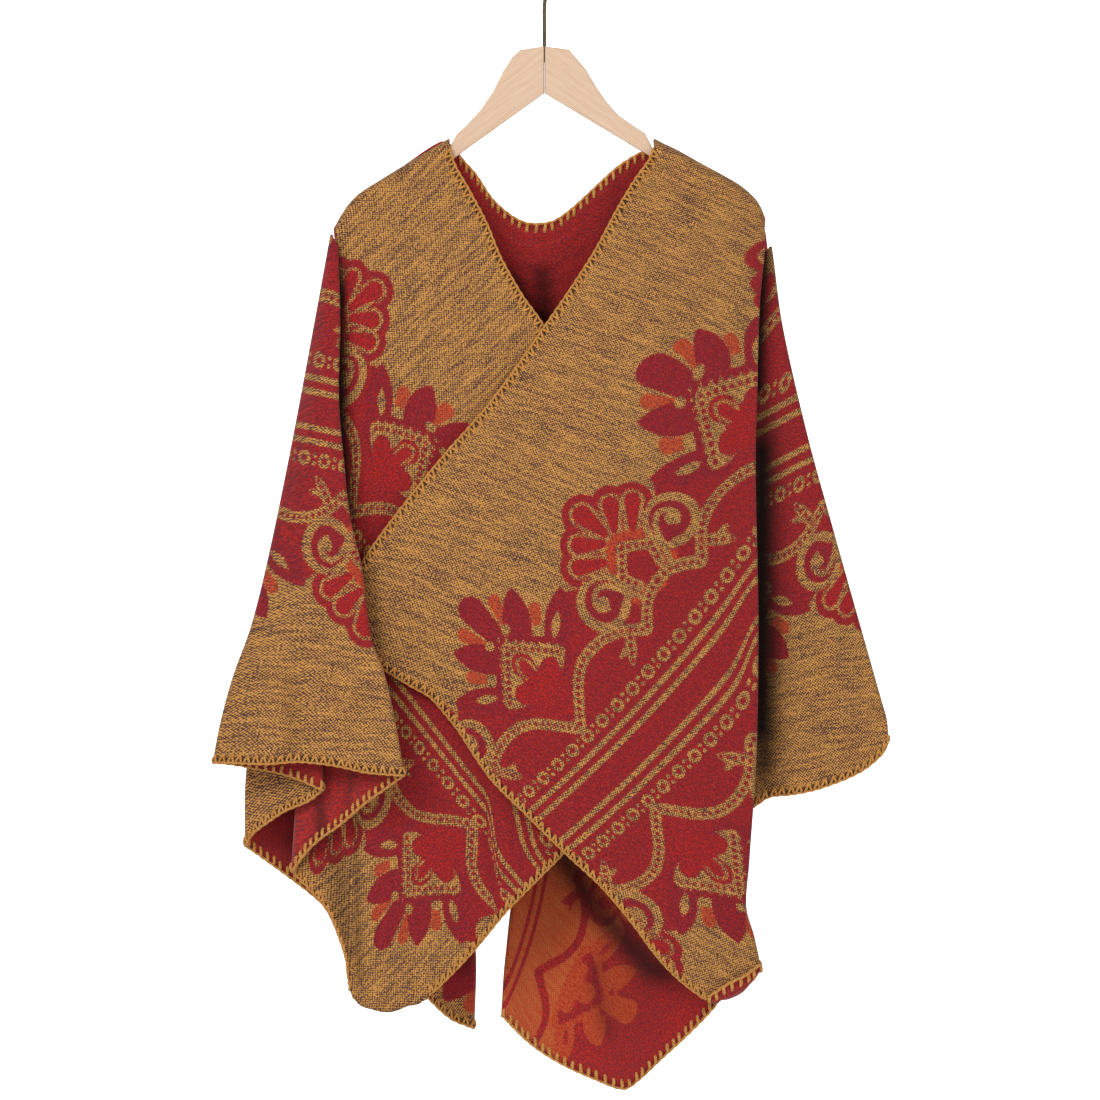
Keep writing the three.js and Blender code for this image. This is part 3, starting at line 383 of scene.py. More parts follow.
def build_grid(panel):
    at = patch(panel)
    probe = np.linspace(0, 1, 60)
    hem = curve(HEMS[panel["name"]])(probe)
    hem_len = np.linalg.norm(np.diff(hem, axis=0), axis=1).sum()
    mid = at(np.full(60, 0.5), probe)
    mid_len = np.linalg.norm(np.diff(mid, axis=0), axis=1).sum()
    side_len = max(np.linalg.norm(np.diff(at(np.full(60, k), probe), axis=0), axis=1).sum() for k in (0.0, 1.0))
    across = max(6, int(round(hem_len / panel["across"])))
    down = max(20, int(round(max(mid_len, side_len) / panel["down"])))
    turns = np.radians(np.linspace(0, 90, 7))
    rows = []
    ts = np.linspace(0, 1, down + 1)

    def steps(width, t):
        r = min(FOLD_TOP + (FOLD_HEM - FOLD_TOP) * t, width / 3.2)
        part = lambda turn: ((r * (1 - np.cos(turns)) / width, turn * r * np.sin(turns)) if turn else (np.zeros(1), np.zeros(1)))
        ls, ll = part(panel["turn_left"])
        rs, rl = part(panel["turn_right"])
        rs, rl = 1 - rs[::-1], rl[::-1]
        k = np.arange(1, across) / across
        s = np.concatenate([ls, ls[-1] + (rs[0] - ls[-1]) * k, rs])
        lift = np.concatenate([ll, ll[-1] + (rl[0] - ll[-1]) * k, rl])
        return s, lift
    if panel["roll"]:
        width = np.linalg.norm(at(np.zeros(1), np.zeros(1) + 0.02) - at(np.ones(1), np.zeros(1) + 0.02))
        s, _ = steps(width, 0)
        q0 = at(s, np.zeros(len(s)))
        for deg in np.linspace(0, 78, 7):
            a = math.radians(deg)
            q = q0.copy()
            on = on_shoulder(q[:, 0]) if panel["roll"] > 0 else np.ones(len(s))
            y = panel["roll"] * np.abs(q[:, 1]) * math.sin(a)
            q[:, 1] = q[:, 1] + (y - q[:, 1]) * on
            q[:, 2] += SHOULDER_ROLL * math.cos(a) * (NECK_RISE + (1 - NECK_RISE) * on)
            rows.append(q)
    roll_rows = len(rows)
    st = []
    for t in ts:
        width = np.linalg.norm(at(np.zeros(1), np.zeros(1) + t) - at(np.ones(1), np.zeros(1) + t))
        s, lift = steps(width, t)
        q = at(s, np.full(len(s), t))
        q[:, 1] += lift * (min(1, t * 8) if panel["roll"] else 1)
        rows.append(q)
        st.append(s)
    grid = np.array(rows)
    s = np.array([st[0]] * roll_rows + st)
    t = np.array([0.0] * roll_rows + list(ts))[:, None] * np.ones((1, s.shape[1]))
    return grid, s, t, roll_rows


def append_curl(grid, fields, roll_rows, curl):
    """Where curl > 0 the cloth goes on past its lowest line, round a small bend and back up by that many millimetres."""
    rows, cols, _ = grid.shape
    frac = np.linspace(0, 1, rows - roll_rows)
    for i in range(cols):
        h, way, bend = curl[i]
        if h < 0.4:
            continue
        body = grid[roll_rows:, i]
        seg = np.concatenate([[0], np.cumsum(np.linalg.norm(np.diff(body, axis=0), axis=1))])
        r = min(bend, h / 2.2)
        ang = np.radians(np.linspace(15, 180, 12))
        arc = body[-1] + np.stack([np.zeros(12), way * r * (1 - np.cos(ang)), -r * np.sin(ang)], 1)
        rest = np.linspace(0, 1, 8)[1:, None] * np.array([0, way * 0.35, 1.0]) * h
        tail = np.concatenate([arc, arc[-1] + rest])
        full = np.concatenate([body, tail])
        length = np.concatenate([[0], np.cumsum(np.linalg.norm(np.diff(full, axis=0), axis=1))])
        # rows keep their places down the cloth and crowd a little into the curl
        want = frac * length[-1]
        extra = 22
        keep = max(0.0, seg[-1] - 40)
        n1 = np.searchsorted(seg, keep)
        want = np.concatenate([seg[:n1], np.linspace(seg[n1], length[-1], len(seg) - n1)])
        new = np.stack([np.interp(want, length, full[:, k]) for k in range(3)], 1)
        for f in fields:
            col = f[roll_rows:, i]
            slope = (col[-1] - col[-6]) / (seg[-1] - seg[-6])
            vals = np.interp(np.minimum(want, seg[-1]), seg, col) + slope * np.maximum(0, want - seg[-1])
            f[roll_rows:, i] = vals
        grid[roll_rows:, i] = new
    return grid


def normals_of(grid):
    down = np.gradient(grid, axis=0)
    across = np.gradient(grid, axis=1)
    n = np.cross(down, across)
    length = np.linalg.norm(n, axis=-1, keepdims=True)
    n = n / np.maximum(length, 1e-9)
    bad = length[..., 0] < 1e-7
    if bad.any():
        for j in range(1, grid.shape[0]):
            n[j][bad[j]] = n[j - 1][bad[j]]
    return n


# =====================================================================
#  ornament, drawn in (x from a shell's axis, y from the centre stripe)
# =====================================================================
def cone(x, y, a, ra, b, rb):
    """Signed distance to a rounded petal from radius ra at a to rb at b (close enough for drawing)."""
    ax, ay = a
    bx, by = b
    n = math.hypot(bx - ax, by - ay)
    t = np.clip(((x - ax) * (bx - ax) + (y - ay) * (by - ay)) / (n * n), 0, 1)
    return np.hypot(x - ax - (bx - ax) * t, y - ay - (by - ay) * t) - (ra + (rb - ra) * t)


def lens(x, y, a, b, half):
    """Signed distance to a lens with points at a and b."""
    ax, ay = a
    bx, by = b
    n = math.hypot(bx - ax, by - ay)
    cx, cy = (ax + bx) / 2, (ay + by) / 2
    dx, dy = (bx - ax) / n, (by - ay) / n
    p = np.abs((x - cx) * dx + (y - cy) * dy)
    q = np.abs(-(x - cx) * dy + (y - cy) * dx)
    c = n / 2
    R = (c * c + half * half) / (2 * half)
    d = R - half
    tip = np.hypot(p - c, q)
    arc = np.hypot(p, q + d) - R
    return np.where((q * c) > (p - 0) * 0 + (p - c) * d + 1e9 * (p < c), tip, arc)


def poly(x, y, points):
    """Signed distance to a closed polygon."""
    pts = np.array(points, float)
    d = np.full(x.shape, 1e9)
    inside = np.zeros(x.shape, bool)
    for (ax, ay), (bx, by) in zip(pts, np.roll(pts, -1, axis=0)):
        ex, ey = bx - ax, by - ay
        t = np.clip(((x - ax) * ex + (y - ay) * ey) / (ex * ex + ey * ey + 1e-12), 0, 1)
        d = np.minimum(d, np.hypot(x - ax - ex * t, y - ay - ey * t))
        hit = ((ay > y) != (by > y)) & (x < (bx - ax) * (y - ay) / (by - ay + 1e-12) + ax)
        inside ^= hit
    return np.where(inside, -d, d)


def rounded(points, n=6):
    """A smooth line through given points."""
    f = curve([(a, b, 0) for a, b in points])
    return [tuple(p[:2]) for p in f(np.linspace(0, 1, (len(points) - 1) * n + 1))]


BAND = rounded([(0, 86), (13, 84), (25, 77), (36, 66)], 3) + rounded([(38, 66), (49, 77), (62, 86), (80, 91), (100, 90), (118, 80), (135, 62), (147, 49)], 4)
VOLUTE = rounded([(20, 88), (27, 103), (34, 117), (43, 123), (52, 119), (55, 110), (49, 104)], 6)
VOLUTE_IN = rounded([(35, 97), (44, 92), (56, 92)], 4)
FRAME = [(0, 151), (19, 131), (37, 112)]
FRAME_END = rounded([(37, 112), (29, 104), (17, 99)], 4)
ARCH = [(0, 130), (20, 112), (14, 95)]
SWIRL = rounded([(0, 136), (5, 132), (7, 125), (6.5, 117)], 5)


def ornament(u, dist):
    """Signed distances of the woven figures, in millimetres, negative inside."""
    m = np.mod(u + REPEAT / 2, REPEAT) - REPEAT / 2
    x = np.abs(m)
    y = np.abs(dist)
    p = REPEAT / 2 - x
    low = lambda *a: np.minimum.reduce(a)
    # palmette, on p = 0
    centre = cone(p, y, (0, 152), 8, (0, 201), 14)
    pointed = low(lens(p, y, (6, 134), (46, 187), 14.5), cone(p, y, (14, 146), 9, (26, 160), 11))
    outer = low(lens(p, y, (26, 108), (82, 151), 14), cone(p, y, (40, 120), 10, (58, 133), 10.5))
    body = poly(p, y, [(-9, 160), (0, 168), (10, 160), (26, 142), (50, 118), (46, 98), (0, 90), (-9, 96)])
    maroon = low(centre, pointed, outer, body)
    orange = low(cone(p, y, (15, 168), 4, (24, 190), 7), cone(p, y, (39, 145), 4.5, (48, 156), 6.5))
    spots = low(np.hypot(p - 12, y - 164) - 5, np.hypot(p - 35.5, y - 140.5) - 5)
    eye = lens(p, y, (41, 124), (63, 138), 4.2)
    f1, _, _, farc = line_distance(p, y, FRAME)
    f2, _, fal, _ = line_distance(p, y, FRAME_END)
    frame_in = poly(p, y, [(-1, 151), (20, 131), (39, 112), (16, 98), (-1, 98)])
    tulip = low(cone(p, y, (0, 124), 9, (0, 130), 10.5), cone(p, y, (10, 98), 8, (19, 108), 9), np.hypot(p, (y - 102) * 0.8) - 15)
    frame_d = low(f1 - 5.2, f2 - (4.8 - 3.4 * fal), np.maximum(frame_in, -(tulip - 1.5)))
    swirl, _, _, _ = line_distance(p, y, SWIRL)
    glow = low(np.hypot(p * 0.9, (y - 84)) - 34, np.hypot(p - 62, y - 104) - 16)
    dots = np.full(x.shape, 1e9)
    for k in range(8):
        dots = np.minimum(dots, np.hypot(p - 5.6 * k, y - (162.5 - 6.4 * k)) - 1.7)
    # shell, on x = 0
    petals = low(cone(x, y, (0, 150), 4, (0, 177), 9.5), cone(x, y, (8, 145), 3.5, (24, 162), 8.2), cone(x, y, (20, 133), 3.5, (40, 149), 7.8))
    a1, _, _, aarc = line_distance(x, y, ARCH)
    arch_in = poly(x, y, [(-1, 130), (0, 130), (20, 112), (14, 95), (-1, 88)])
    arch_all = low(a1 - 4.3, arch_in)
    heart = poly(x, y, [(-1, 121), (0, 121), (11, 111), (9, 99), (4, 91), (-1, 91)])
    ring = np.hypot(x - 47, y - 111)
    ang = np.arctan2(y - 111, x - 47)
    ring_w = 3.0 + 1.6 * np.clip(np.cos(ang - 0.1), 0, 1)
    ring_t = np.abs(ring - 22.5) - ring_w
    notch = np.hypot(x - 41, y - 137) - 3.2
    ring_t = np.maximum(ring_t, -notch)
    disc = ring - 21
    spiral, _, _, _ = line_distance(x, y, VOLUTE)
    spiral2, _, _, _ = line_distance(x, y, VOLUTE_IN)
    blob = np.hypot(x - 48, y - 111) - 5.6
    band, _, _, barc = line_distance(x, y, BAND)
    sprig = low(lens(x, y, (47, 80), (70, 52), 5.2), lens(x, y, (60, 69), (74, 66), 2.5))
    sprig_line, _, _, sarc = line_distance(x, y, [(48, 78), (70, 52)])
    field = poly(x, y, [(-1, 140), (30, 138), (52, 132), (66, 146), (76, 132), (100, 128), (148, 150), (148, -5), (-1, -5)])
    ground = low(field, maroon, petals - 10.5, ring - 21)
    # what is left of the tan outline round the shell's petals
    outline = np.maximum(petals - 3.2, -petals)
    outline = np.maximum(outline, -(arch_all - 9))
    hatch = np.maximum(arch_all - 11.5, -(arch_all - 1))
    hatch = np.maximum(hatch, -(ring - 23))
    hatch_edge = np.maximum(np.abs(arch_all - 12) - 1.3, -(ring - 24))
    hatch_edge = np.maximum(hatch_edge, 100 - y)
    tan = low(outline, ring_t, spiral - 2.6, np.maximum(spiral2 - 1.6, ring - 22), blob, band - 5.2, sprig, frame_d, spots, eye, dots,
              np.maximum(a1 - 4.6, -heart), hatch_edge)
    tan = np.maximum(tan, -(tulip - 0.5))
    tan = np.maximum(tan, -np.maximum(petals + 0.2, -petals - 60))
    bright = low(petals + 0.2, tulip)
    # dots inside the dotted bands: nearest band and how far along it
    which = np.stack([band, f1 - 0.2, a1 - 0.2, sprig_line, f2 + 1.5])
    pick = which.argmin(0)
    near = np.take_along_axis(which, pick[None], 0)[0]
    arcs = np.stack([barc, farc + 2, aarc + 1, sarc, barc * 0])
    arc = np.take_along_axis(arcs, pick[None], 0)[0]
    return dict(ground=ground, orange=low(orange, hatch), maroon=low(maroon, disc), tan=tan, bright=bright,
                detail=swirl - 1.5, near=near, arc=arc, glow=glow)


# =====================================================================
#  materials
# =====================================================================
def srgb(r, g, b):
    f = lambda c: (c / 255 / 12.92) if c / 255 <= 0.04045 else ((c / 255 + 0.055) / 1.055) ** 2.4
    return (f(r), f(g), f(b), 1)


class Nodes:
    """Short names for building a node tree."""

    def __init__(self, name):
        self.mat = bpy.data.materials.new(name)
        self.mat.use_nodes = True
        self.tree = self.mat.node_tree
        self.bsdf = next(n for n in self.tree.nodes if n.type == "BSDF_PRINCIPLED")

    def new(self, kind, **props):
        n = self.tree.nodes.new(kind)
        for k, v in props.items():
            setattr(n, k, v)
        return n

    def put(self, socket, value):
        if isinstance(value, bpy.types.NodeSocket):
            self.tree.links.new(value, socket)
        else:
            socket.default_value = value

    def m(self, op, a, b=None, c=None, clamp=False):
        n = self.new("ShaderNodeMath", operation=op, use_clamp=clamp)
        for i, v in enumerate((a, b, c)):
            if v is not None:
                self.put(n.inputs[i], v)
        return n.outputs[0]

    def attr(self, name):
        n = self.new("ShaderNodeAttribute", attribute_name=name)
        s = self.new("ShaderNodeSeparateXYZ")
        self.tree.links.new(n.outputs["Vector"], s.inputs[0])
        return s.outputs

    def xyz(self, x, y, z=0.0):
        n = self.new("ShaderNodeCombineXYZ")
        for i, v in enumerate((x, y, z)):
            self.put(n.inputs[i], v)
        return n.outputs[0]

    def noise(self, vector, scale, detail=2.0, rough=0.5):
        n = self.new("ShaderNodeTexNoise")
        self.put(n.inputs["Vector"], vector)
        n.inputs["Scale"].default_value = scale
        n.inputs["Detail"].default_value = detail
        n.inputs["Roughness"].default_value = rough
        return n.outputs[0]

    def mix(self, fac, a, b):
        n = self.new("ShaderNodeMix", data_type="RGBA")
        self.put(n.inputs[0], fac)
        self.put(n.inputs[6], a)
        self.put(n.inputs[7], b)
        return n.outputs[2]

    def below(self, value, edge, soft):
        """1 where value < edge, with a soft step."""
        return self.m("MULTIPLY_ADD", value, -1 / soft, 0.5 + edge / soft, clamp=True)

    def wave(self, value, period, phase=0.0):
        return self.m("SINE", self.m("MULTIPLY_ADD", value, 2 * math.pi / period, phase))


def cloth_material(name, outer):
    N = Nodes(name)
    m = N.m
    D, U, E = N.attr("lie")
    ground, orange, maroon = N.attr("figure_a")
    tan, bright, detail = N.attr("figure_b")
    near, arc, glow = N.attr("figure_c")
    P, Q, _ = N.attr("yarn")
    at = N.xyz(P, Q)
    # the weave: fine crossing yarns, each with its own shade
    eye = m("MULTIPLY", N.wave(P, 2.9), N.wave(Q, 2.9))
    fine = N.noise(at, 0.62, 1.0)
    grain = N.noise(N.xyz(m("MULTIPLY", P, 0.16), m("MULTIPLY", Q, 0.75)), 1.0, 2.0)
    grain_b = N.noise(N.xyz(m("MULTIPLY", P, 0.8), m("MULTIPLY", Q, 0.13), 7.0), 1.0, 2.0)
    cloudy = N.noise(at, 0.022, 2.0)
    jit = m("MULTIPLY_ADD", N.noise(at, 0.8, 0.0), 3.4, -1.7)
    steps = m("MULTIPLY", m("ADD", N.wave(P, 2.1), N.wave(Q, 2.1)), 0.38)
    rough_edge = m("ADD", jit, steps)

    def figure(value, edge=0.0, soft=0.8):
        return N.below(m("ADD", value, rough_edge), edge, soft)

    # heathered tan
    streak = N.noise(N.xyz(m("MULTIPLY", P, 0.035), m("MULTIPLY", Q, 0.26), 3.0), 1.0, 3.0)
    lift = m("ADD", m("MULTIPLY_ADD", eye, 1.5, 0.0), m("MULTIPLY_ADD", fine, 6.2, -3.1))
    lift = m("ADD", lift, m("MULTIPLY_ADD", grain, 2.2, -1.1))
    lift = m("ADD", lift, m("MULTIPLY_ADD", grain_b, 1.3, -0.65))
    lift = m("ADD", lift, m("MULTIPLY_ADD", streak, 3.6, -1.8))
    gold = m("MULTIPLY_ADD", lift, 0.85, 0.10, clamp=True)
    plum = m("MULTIPLY_ADD", lift, -1.05, 0.12, clamp=True)
    tan_c = N.mix(gold, TAN, TAN_GOLD)
    tan_c = N.mix(plum, tan_c, TAN_PLUM)
    tan_c = N.mix(m("MULTIPLY_ADD", cloudy, 1.2, -0.35, clamp=True), tan_c, N.mix(0.22, tan_c, TAN_GOLD))
    # reds, each a little mixed with the yarns behind
    speck = m("MULTIPLY_ADD", m("ADD", fine, m("MULTIPLY", grain, 0.7)), 2.6, -1.75)
    speck = m("ADD", speck, m("MULTIPLY", m("ADD", eye, N.wave(D, 1.7)), 0.16), clamp=True)
    dust = m("MULTIPLY_ADD", N.noise(N.xyz(P, Q, 11.0), 0.62, 1.0), -7.0, 3.9, clamp=True)
    red = lambda a, b: N.mix(m("MULTIPLY", dust, 0.66), N.mix(speck, a, b), DUST)
    if outer:
        # dots inside the dotted bands
        dot_s = m("ABSOLUTE", m("SUBTRACT", m("FRACT", m("MULTIPLY_ADD", arc, 1 / 6.6, 0.25)), 0.5))
        dot = m("SQRT", m("ADD", m("POWER", m("MULTIPLY", dot_s, 6.6), 2.0), m("POWER", near, 2.0)))
        dot = figure(dot, 2.15, 0.7)
        # centre stripes and rows of rings
        y = m("ABSOLUTE", D)
        wobble = m("MULTIPLY", rough_edge, 0.55)
        s1 = N.below(m("ADD", m("ABSOLUTE", m("SUBTRACT", y, 14.5)), wobble), 2.5, 0.8)
        s2 = N.below(m("ADD", m("ABSOLUTE", m("SUBTRACT", y, 25.5)), wobble), 2.5, 0.8)
        ru = m("MULTIPLY", m("SUBTRACT", m("FRACT", m("MULTIPLY_ADD", U, 1 / 21.0, 0.5)), 0.5), 21.0)
        ry = m("SUBTRACT", y, 40.0)
        ring_r = m("SQRT", m("ADD", m("POWER", ru, 2.0), m("POWER", ry, 2.0)))
        ring = N.below(m("ADD", m("ABSOLUTE", m("SUBTRACT", ring_r, 4.6)), wobble), 1.8, 0.8)
        pu = m("SUBTRACT", m("ABSOLUTE", ru), 10.5)
        py = m("SUBTRACT", m("ABSOLUTE", ry), 3.4)
        pair_r = m("SQRT", m("ADD", m("POWER", pu, 2.0), m("POWER", py, 2.0)))
        pair = N.below(m("ADD", pair_r, wobble), 1.9, 0.8)
        lines = m("MAXIMUM", m("MAXIMUM", s1, s2), m("MAXIMUM", ring, pair))
        # painted from the ground up
        col = N.mix(figure(ground), tan_c, red(RED_A, RED_B))
        col = N.mix(m("MULTIPLY", figure(orange), 0.92), col, red(ORANGE_A, ORANGE_B))
        col = N.mix(figure(maroon), col, red(MAROON_A, MAROON_B))
        warm = m("MULTIPLY", m("MULTIPLY_ADD", glow, -1 / 26.0, 0.1, clamp=True), m("MULTIPLY_ADD", N.noise(at, 0.05, 2.0), 2.2, -0.55, clamp=True))
        col = N.mix(m("MULTIPLY", warm, figure(ground)), col, red(BRIGHT_A, BRIGHT_B))
        col = N.mix(figure(bright), col, red(BRIGHT_A, BRIGHT_B))
        col = N.mix(figure(tan, 0.0), col, tan_c)
        col = N.mix(figure(detail), col, tan_c)
        col = N.mix(m("MULTIPLY", dot, figure(tan, 1.5, 1.5)), col, red(MAROON_A, RED_B))
        col = N.mix(lines, col, tan_c)
    else:
        # the other face: field and figures change places
        y = m("ABSOLUTE", D)
        s1 = N.below(m("ABSOLUTE", m("SUBTRACT", y, 14.5)), 2.5, 0.8)
        s2 = N.below(m("ABSOLUTE", m("SUBTRACT", y, 25.5)), 2.5, 0.8)
        col = red(INNER_A, INNER_B)
        fig = m("MULTIPLY", figure(ground, 0.0, 1.2), m("SUBTRACT", 1.0, m("MAXIMUM", s1, s2)))
        fig = m("MULTIPLY", fig, m("SUBTRACT", 1.0, figure(tan, 0.0, 1.0)))
        col = N.mix(m("MULTIPLY", fig, 0.93), col, N.mix(m("MULTIPLY", gold, 0.4), N.mix(m("MULTIPLY_ADD", speck, 0.7, 0.2), INSIDE_A, INSIDE_B), TAN_GOLD))
        col = N.mix(m("MULTIPLY", figure(maroon, 0.0, 1.0), fig), col, N.mix(speck, INSIDE_B, INSIDE_A))
    # the cloth is pinched between the stitches: painted shade there, partly the dark plum-brown yarn that shows beneath
    pinch_shade_mask = N.below(m("ADD", E, m("MULTIPLY", jit, 0.4)), 4.8, 1.8)
    col = N.mix(m("MULTIPLY", pinch_shade_mask, 0.84 if outer else 0.4), col, PINCH_SHADE_AND_YARN if outer else PINCH_SHADE_AND_YARN_RED)
    # painted shade in the folds: the colour goes towards near-black where the cloth lies inside a fold
    col = N.mix(N.attr("depth")[0], col, FOLD_SHADE_DARK if outer else FOLD_SHADE_DARK_RED)
    N.put(N.bsdf.inputs["Base Color"], col)
    N.bsdf.inputs["Roughness"].default_value = 0.92
    N.bsdf.inputs["Specular IOR Level"].default_value = 0.18
    N.bsdf.inputs["Sheen Weight"].default_value = 0.10 if outer else 0.22
    N.bsdf.inputs["Sheen Roughness"].default_value = 0.55
    height = m("ADD", m("MULTIPLY", eye, 0.35), m("MULTIPLY", m("ADD", fine, grain), 0.9))
    height = m("ADD", height, m("MULTIPLY", pinch_shade_mask, -1.6))
    bump = N.new("ShaderNodeBump")
    bump.inputs["Strength"].default_value = 0.55
    bump.inputs["Distance"].default_value = 0.0005
    N.put(bump.inputs["Height"], height)
    N.put(N.bsdf.inputs["Normal"], bump.outputs[0])
    return N.mat


def thread_material(name):
    N = Nodes(name)
    m = N.m
    L, A, R = N.attr("twist")
    ply = N.wave(m("ADD", L, m("MULTIPLY", A, 1.9)), 1.9)
    fine = N.noise(N.xyz(L, m("MULTIPLY", A, 2.0), R), 1.4, 2.0)
    col = N.mix(m("MULTIPLY_ADD", ply, 0.5, 0.5, clamp=True), THREAD_DARK, THREAD_MID)
    col = N.mix(m("MULTIPLY_ADD", fine, 2.4, -0.85, clamp=True), col, THREAD_LIGHT)
    N.put(N.bsdf.inputs["Base Color"], col)
    N.bsdf.inputs["Roughness"].default_value = 0.75
    N.bsdf.inputs["Specular IOR Level"].default_value = 0.3
    N.bsdf.inputs["Sheen Weight"].default_value = 0.15
    bump = N.new("ShaderNodeBump")
    bump.inputs["Strength"].default_value = 0.6
    bump.inputs["Distance"].default_value = 0.0005
    N.put(bump.inputs["Height"], m("ADD", ply, m("MULTIPLY", fine, 0.8)))
    N.put(N.bsdf.inputs["Normal"], bump.outputs[0])
    return N.mat


def wood_material(name):
    N = Nodes(name)
    m = N.m
    co = N.new("ShaderNodeTexCoord").outputs["Object"]
    sep = N.new("ShaderNodeSeparateXYZ")
    N.put(sep.inputs[0], co)
    x, y, z = sep.outputs
    # the grain follows each arm, down and out from the middle
    down = m("ADD", z, m("MULTIPLY", m("ABSOLUTE", x), 0.72))
    bend = N.noise(N.xyz(m("MULTIPLY", x, 6.0), y, m("MULTIPLY", z, 6.0)), 1.0, 2.0)
    rings = N.wave(m("ADD", m("MULTIPLY", down, 1000.0), m("MULTIPLY", bend, 16.0)), 9.0)
    pore = N.noise(N.xyz(m("MULTIPLY", x, 60.0), m("MULTIPLY", y, 500.0), m("MULTIPLY", down, 900.0)), 1.0, 3.0)
    col = N.mix(m("MULTIPLY_ADD", rings, 0.22, 0.3, clamp=True), WOOD_LIGHT, WOOD_MID)
    col = N.mix(m("MULTIPLY_ADD", pore, 1.4, -0.62, clamp=True), col, WOOD_DARK)
    joint = N.below(m("ABSOLUTE", x), 0.0007, 0.0005)
    col = N.mix(m("MULTIPLY", joint, 0.75), col, WOOD_JOINT)
    N.put(N.bsdf.inputs["Base Color"], col)
    N.bsdf.inputs["Roughness"].default_value = 0.5
    N.bsdf.inputs["Specular IOR Level"].default_value = 0.35
    bump = N.new("ShaderNodeBump")
    bump.inputs["Strength"].default_value = 0.2
    bump.inputs["Distance"].default_value = 0.0003
    N.put(bump.inputs["Height"], pore)
    N.put(N.bsdf.inputs["Normal"], bump.outputs[0])
    return N.mat


def wire_material(name):
    N = Nodes(name)
    co = N.new("ShaderNodeTexCoord").outputs["Object"]
    spots = N.noise(co, 260.0, 3.0)
    col = N.mix(N.m("MULTIPLY_ADD", spots, 1.8, -0.5, clamp=True), WIRE_A, WIRE_B)
    N.put(N.bsdf.inputs["Base Color"], col)
    N.bsdf.inputs["Metallic"].default_value = 0.85
    N.put(N.bsdf.inputs["Roughness"], N.m("MULTIPLY_ADD", spots, 0.25, 0.25))
    return N.mat


TAN, TAN_GOLD, TAN_PLUM = srgb(150, 107, 66), srgb(226, 162, 82), srgb(72, 45, 52)
RED_A, RED_B = srgb(152, 24, 28), srgb(190, 46, 42)
DUST = srgb(88, 38, 50)
MAROON_A, MAROON_B = srgb(140, 22, 30), srgb(182, 44, 46)
BRIGHT_A, BRIGHT_B = srgb(166, 24, 24), srgb(202, 46, 38)
# colours of the painted shade in the folds, for the outer and the red inner face
FOLD_SHADE_DARK, FOLD_SHADE_DARK_RED = srgb(24, 8, 4), srgb(26, 4, 3)
ORANGE_A, ORANGE_B = srgb(200, 58, 30), srgb(214, 92, 46)
INNER_A, INNER_B = srgb(172, 28, 26), srgb(200, 50, 42)
INSIDE_A, INSIDE_B = srgb(206, 92, 48), srgb(176, 48, 32)
# colours of the painted shade at the pinched stitched edge, partly the dark yarn beneath
PINCH_SHADE_AND_YARN, PINCH_SHADE_AND_YARN_RED = srgb(44, 32, 20), srgb(84, 14, 12)
THREAD_DARK, THREAD_MID, THREAD_LIGHT = srgb(150, 74, 14), srgb(238, 146, 42), srgb(255, 204, 116)
WOOD_LIGHT, WOOD_MID, WOOD_DARK, WOOD_JOINT = srgb(240, 208, 180), srgb(232, 194, 160), srgb(212, 166, 130), srgb(70, 45, 30)
WIRE_A, WIRE_B = srgb(70, 64, 48), srgb(110, 100, 74)


OUTER = cloth_material("cloth outer face", True)
INNER = cloth_material("cloth inner face", False)
YARN = thread_material("stitching yarn")
WOOD = wood_material("maple")
WIRE = wire_material("bronzed wire")


# =====================================================================
#  meshes
# =====================================================================
def new_mesh(name, co, faces, mats, mat_index=None, smooth_faces=True):
    me = bpy.data.meshes.new(name)
    co = np.asarray(co, np.float32)
    faces = np.asarray(faces, np.int32)
    nf, k = faces.shape
    me.vertices.add(len(co))
    me.vertices.foreach_set("co", (co * MM).ravel())
    me.loops.add(nf * k)
    me.loops.foreach_set("vertex_index", faces.ravel())
    me.polygons.add(nf)
    me.polygons.foreach_set("loop_start", np.arange(0, nf * k, k, dtype=np.int32))
    me.update(calc_edges=True)
    for mat in mats:
        me.materials.append(mat)
    if mat_index is not None:
        me.polygons.foreach_set("material_index", np.asarray(mat_index, np.int32))
    me.polygons.foreach_set("use_smooth", np.full(nf, smooth_faces))
    me.validate()
    me.update()
    ob = bpy.data.objects.new(name, me)
    bpy.context.scene.collection.objects.link(ob)
    return ob


def put_attr(ob, name, a, b, c):
    at = ob.data.attributes.new(name, "FLOAT_VECTOR", "POINT")
    at.data.foreach_set("vector", np.stack([a, b, c], 1).astype(np.float32).ravel())


def put_uv(ob, faces, uv_corner):
    uv = ob.data.uv_layers.new(name="OFBake")
    uv.data.foreach_set("uv", uv_corner.astype(np.float32).ravel())


def fit_lay(points):
    """A smooth map from (x, z) to (along, from the centre stripe)."""
    pts = np.array(points, float)
    x, z = pts[:, 0] / 300, (pts[:, 1] + 560) / 300
    full = lambda x, z: np.stack([np.ones_like(x), x, z, x * x, x * z, z * z, x ** 3, x * x * z, x * z * z, z ** 3], -1)
    weight = np.array([0, 0, 0, 0.01, 0.01, 0.01, 0.12, 0.12, 0.12, 0.12])
    A = full(x, z)
    if len(pts) < 9:
        weight[3:] *= 12
    reg = np.diag(weight) * 1.0
    lhs = A.T @ A + reg
    cu = np.linalg.solve(lhs, A.T @ pts[:, 2])
    cd = np.linalg.solve(lhs, A.T @ pts[:, 3])
    return lambda X, Z: (full(X / 300, (Z + 560) / 300) @ cu, full(X / 300, (Z + 560) / 300) @ cd)


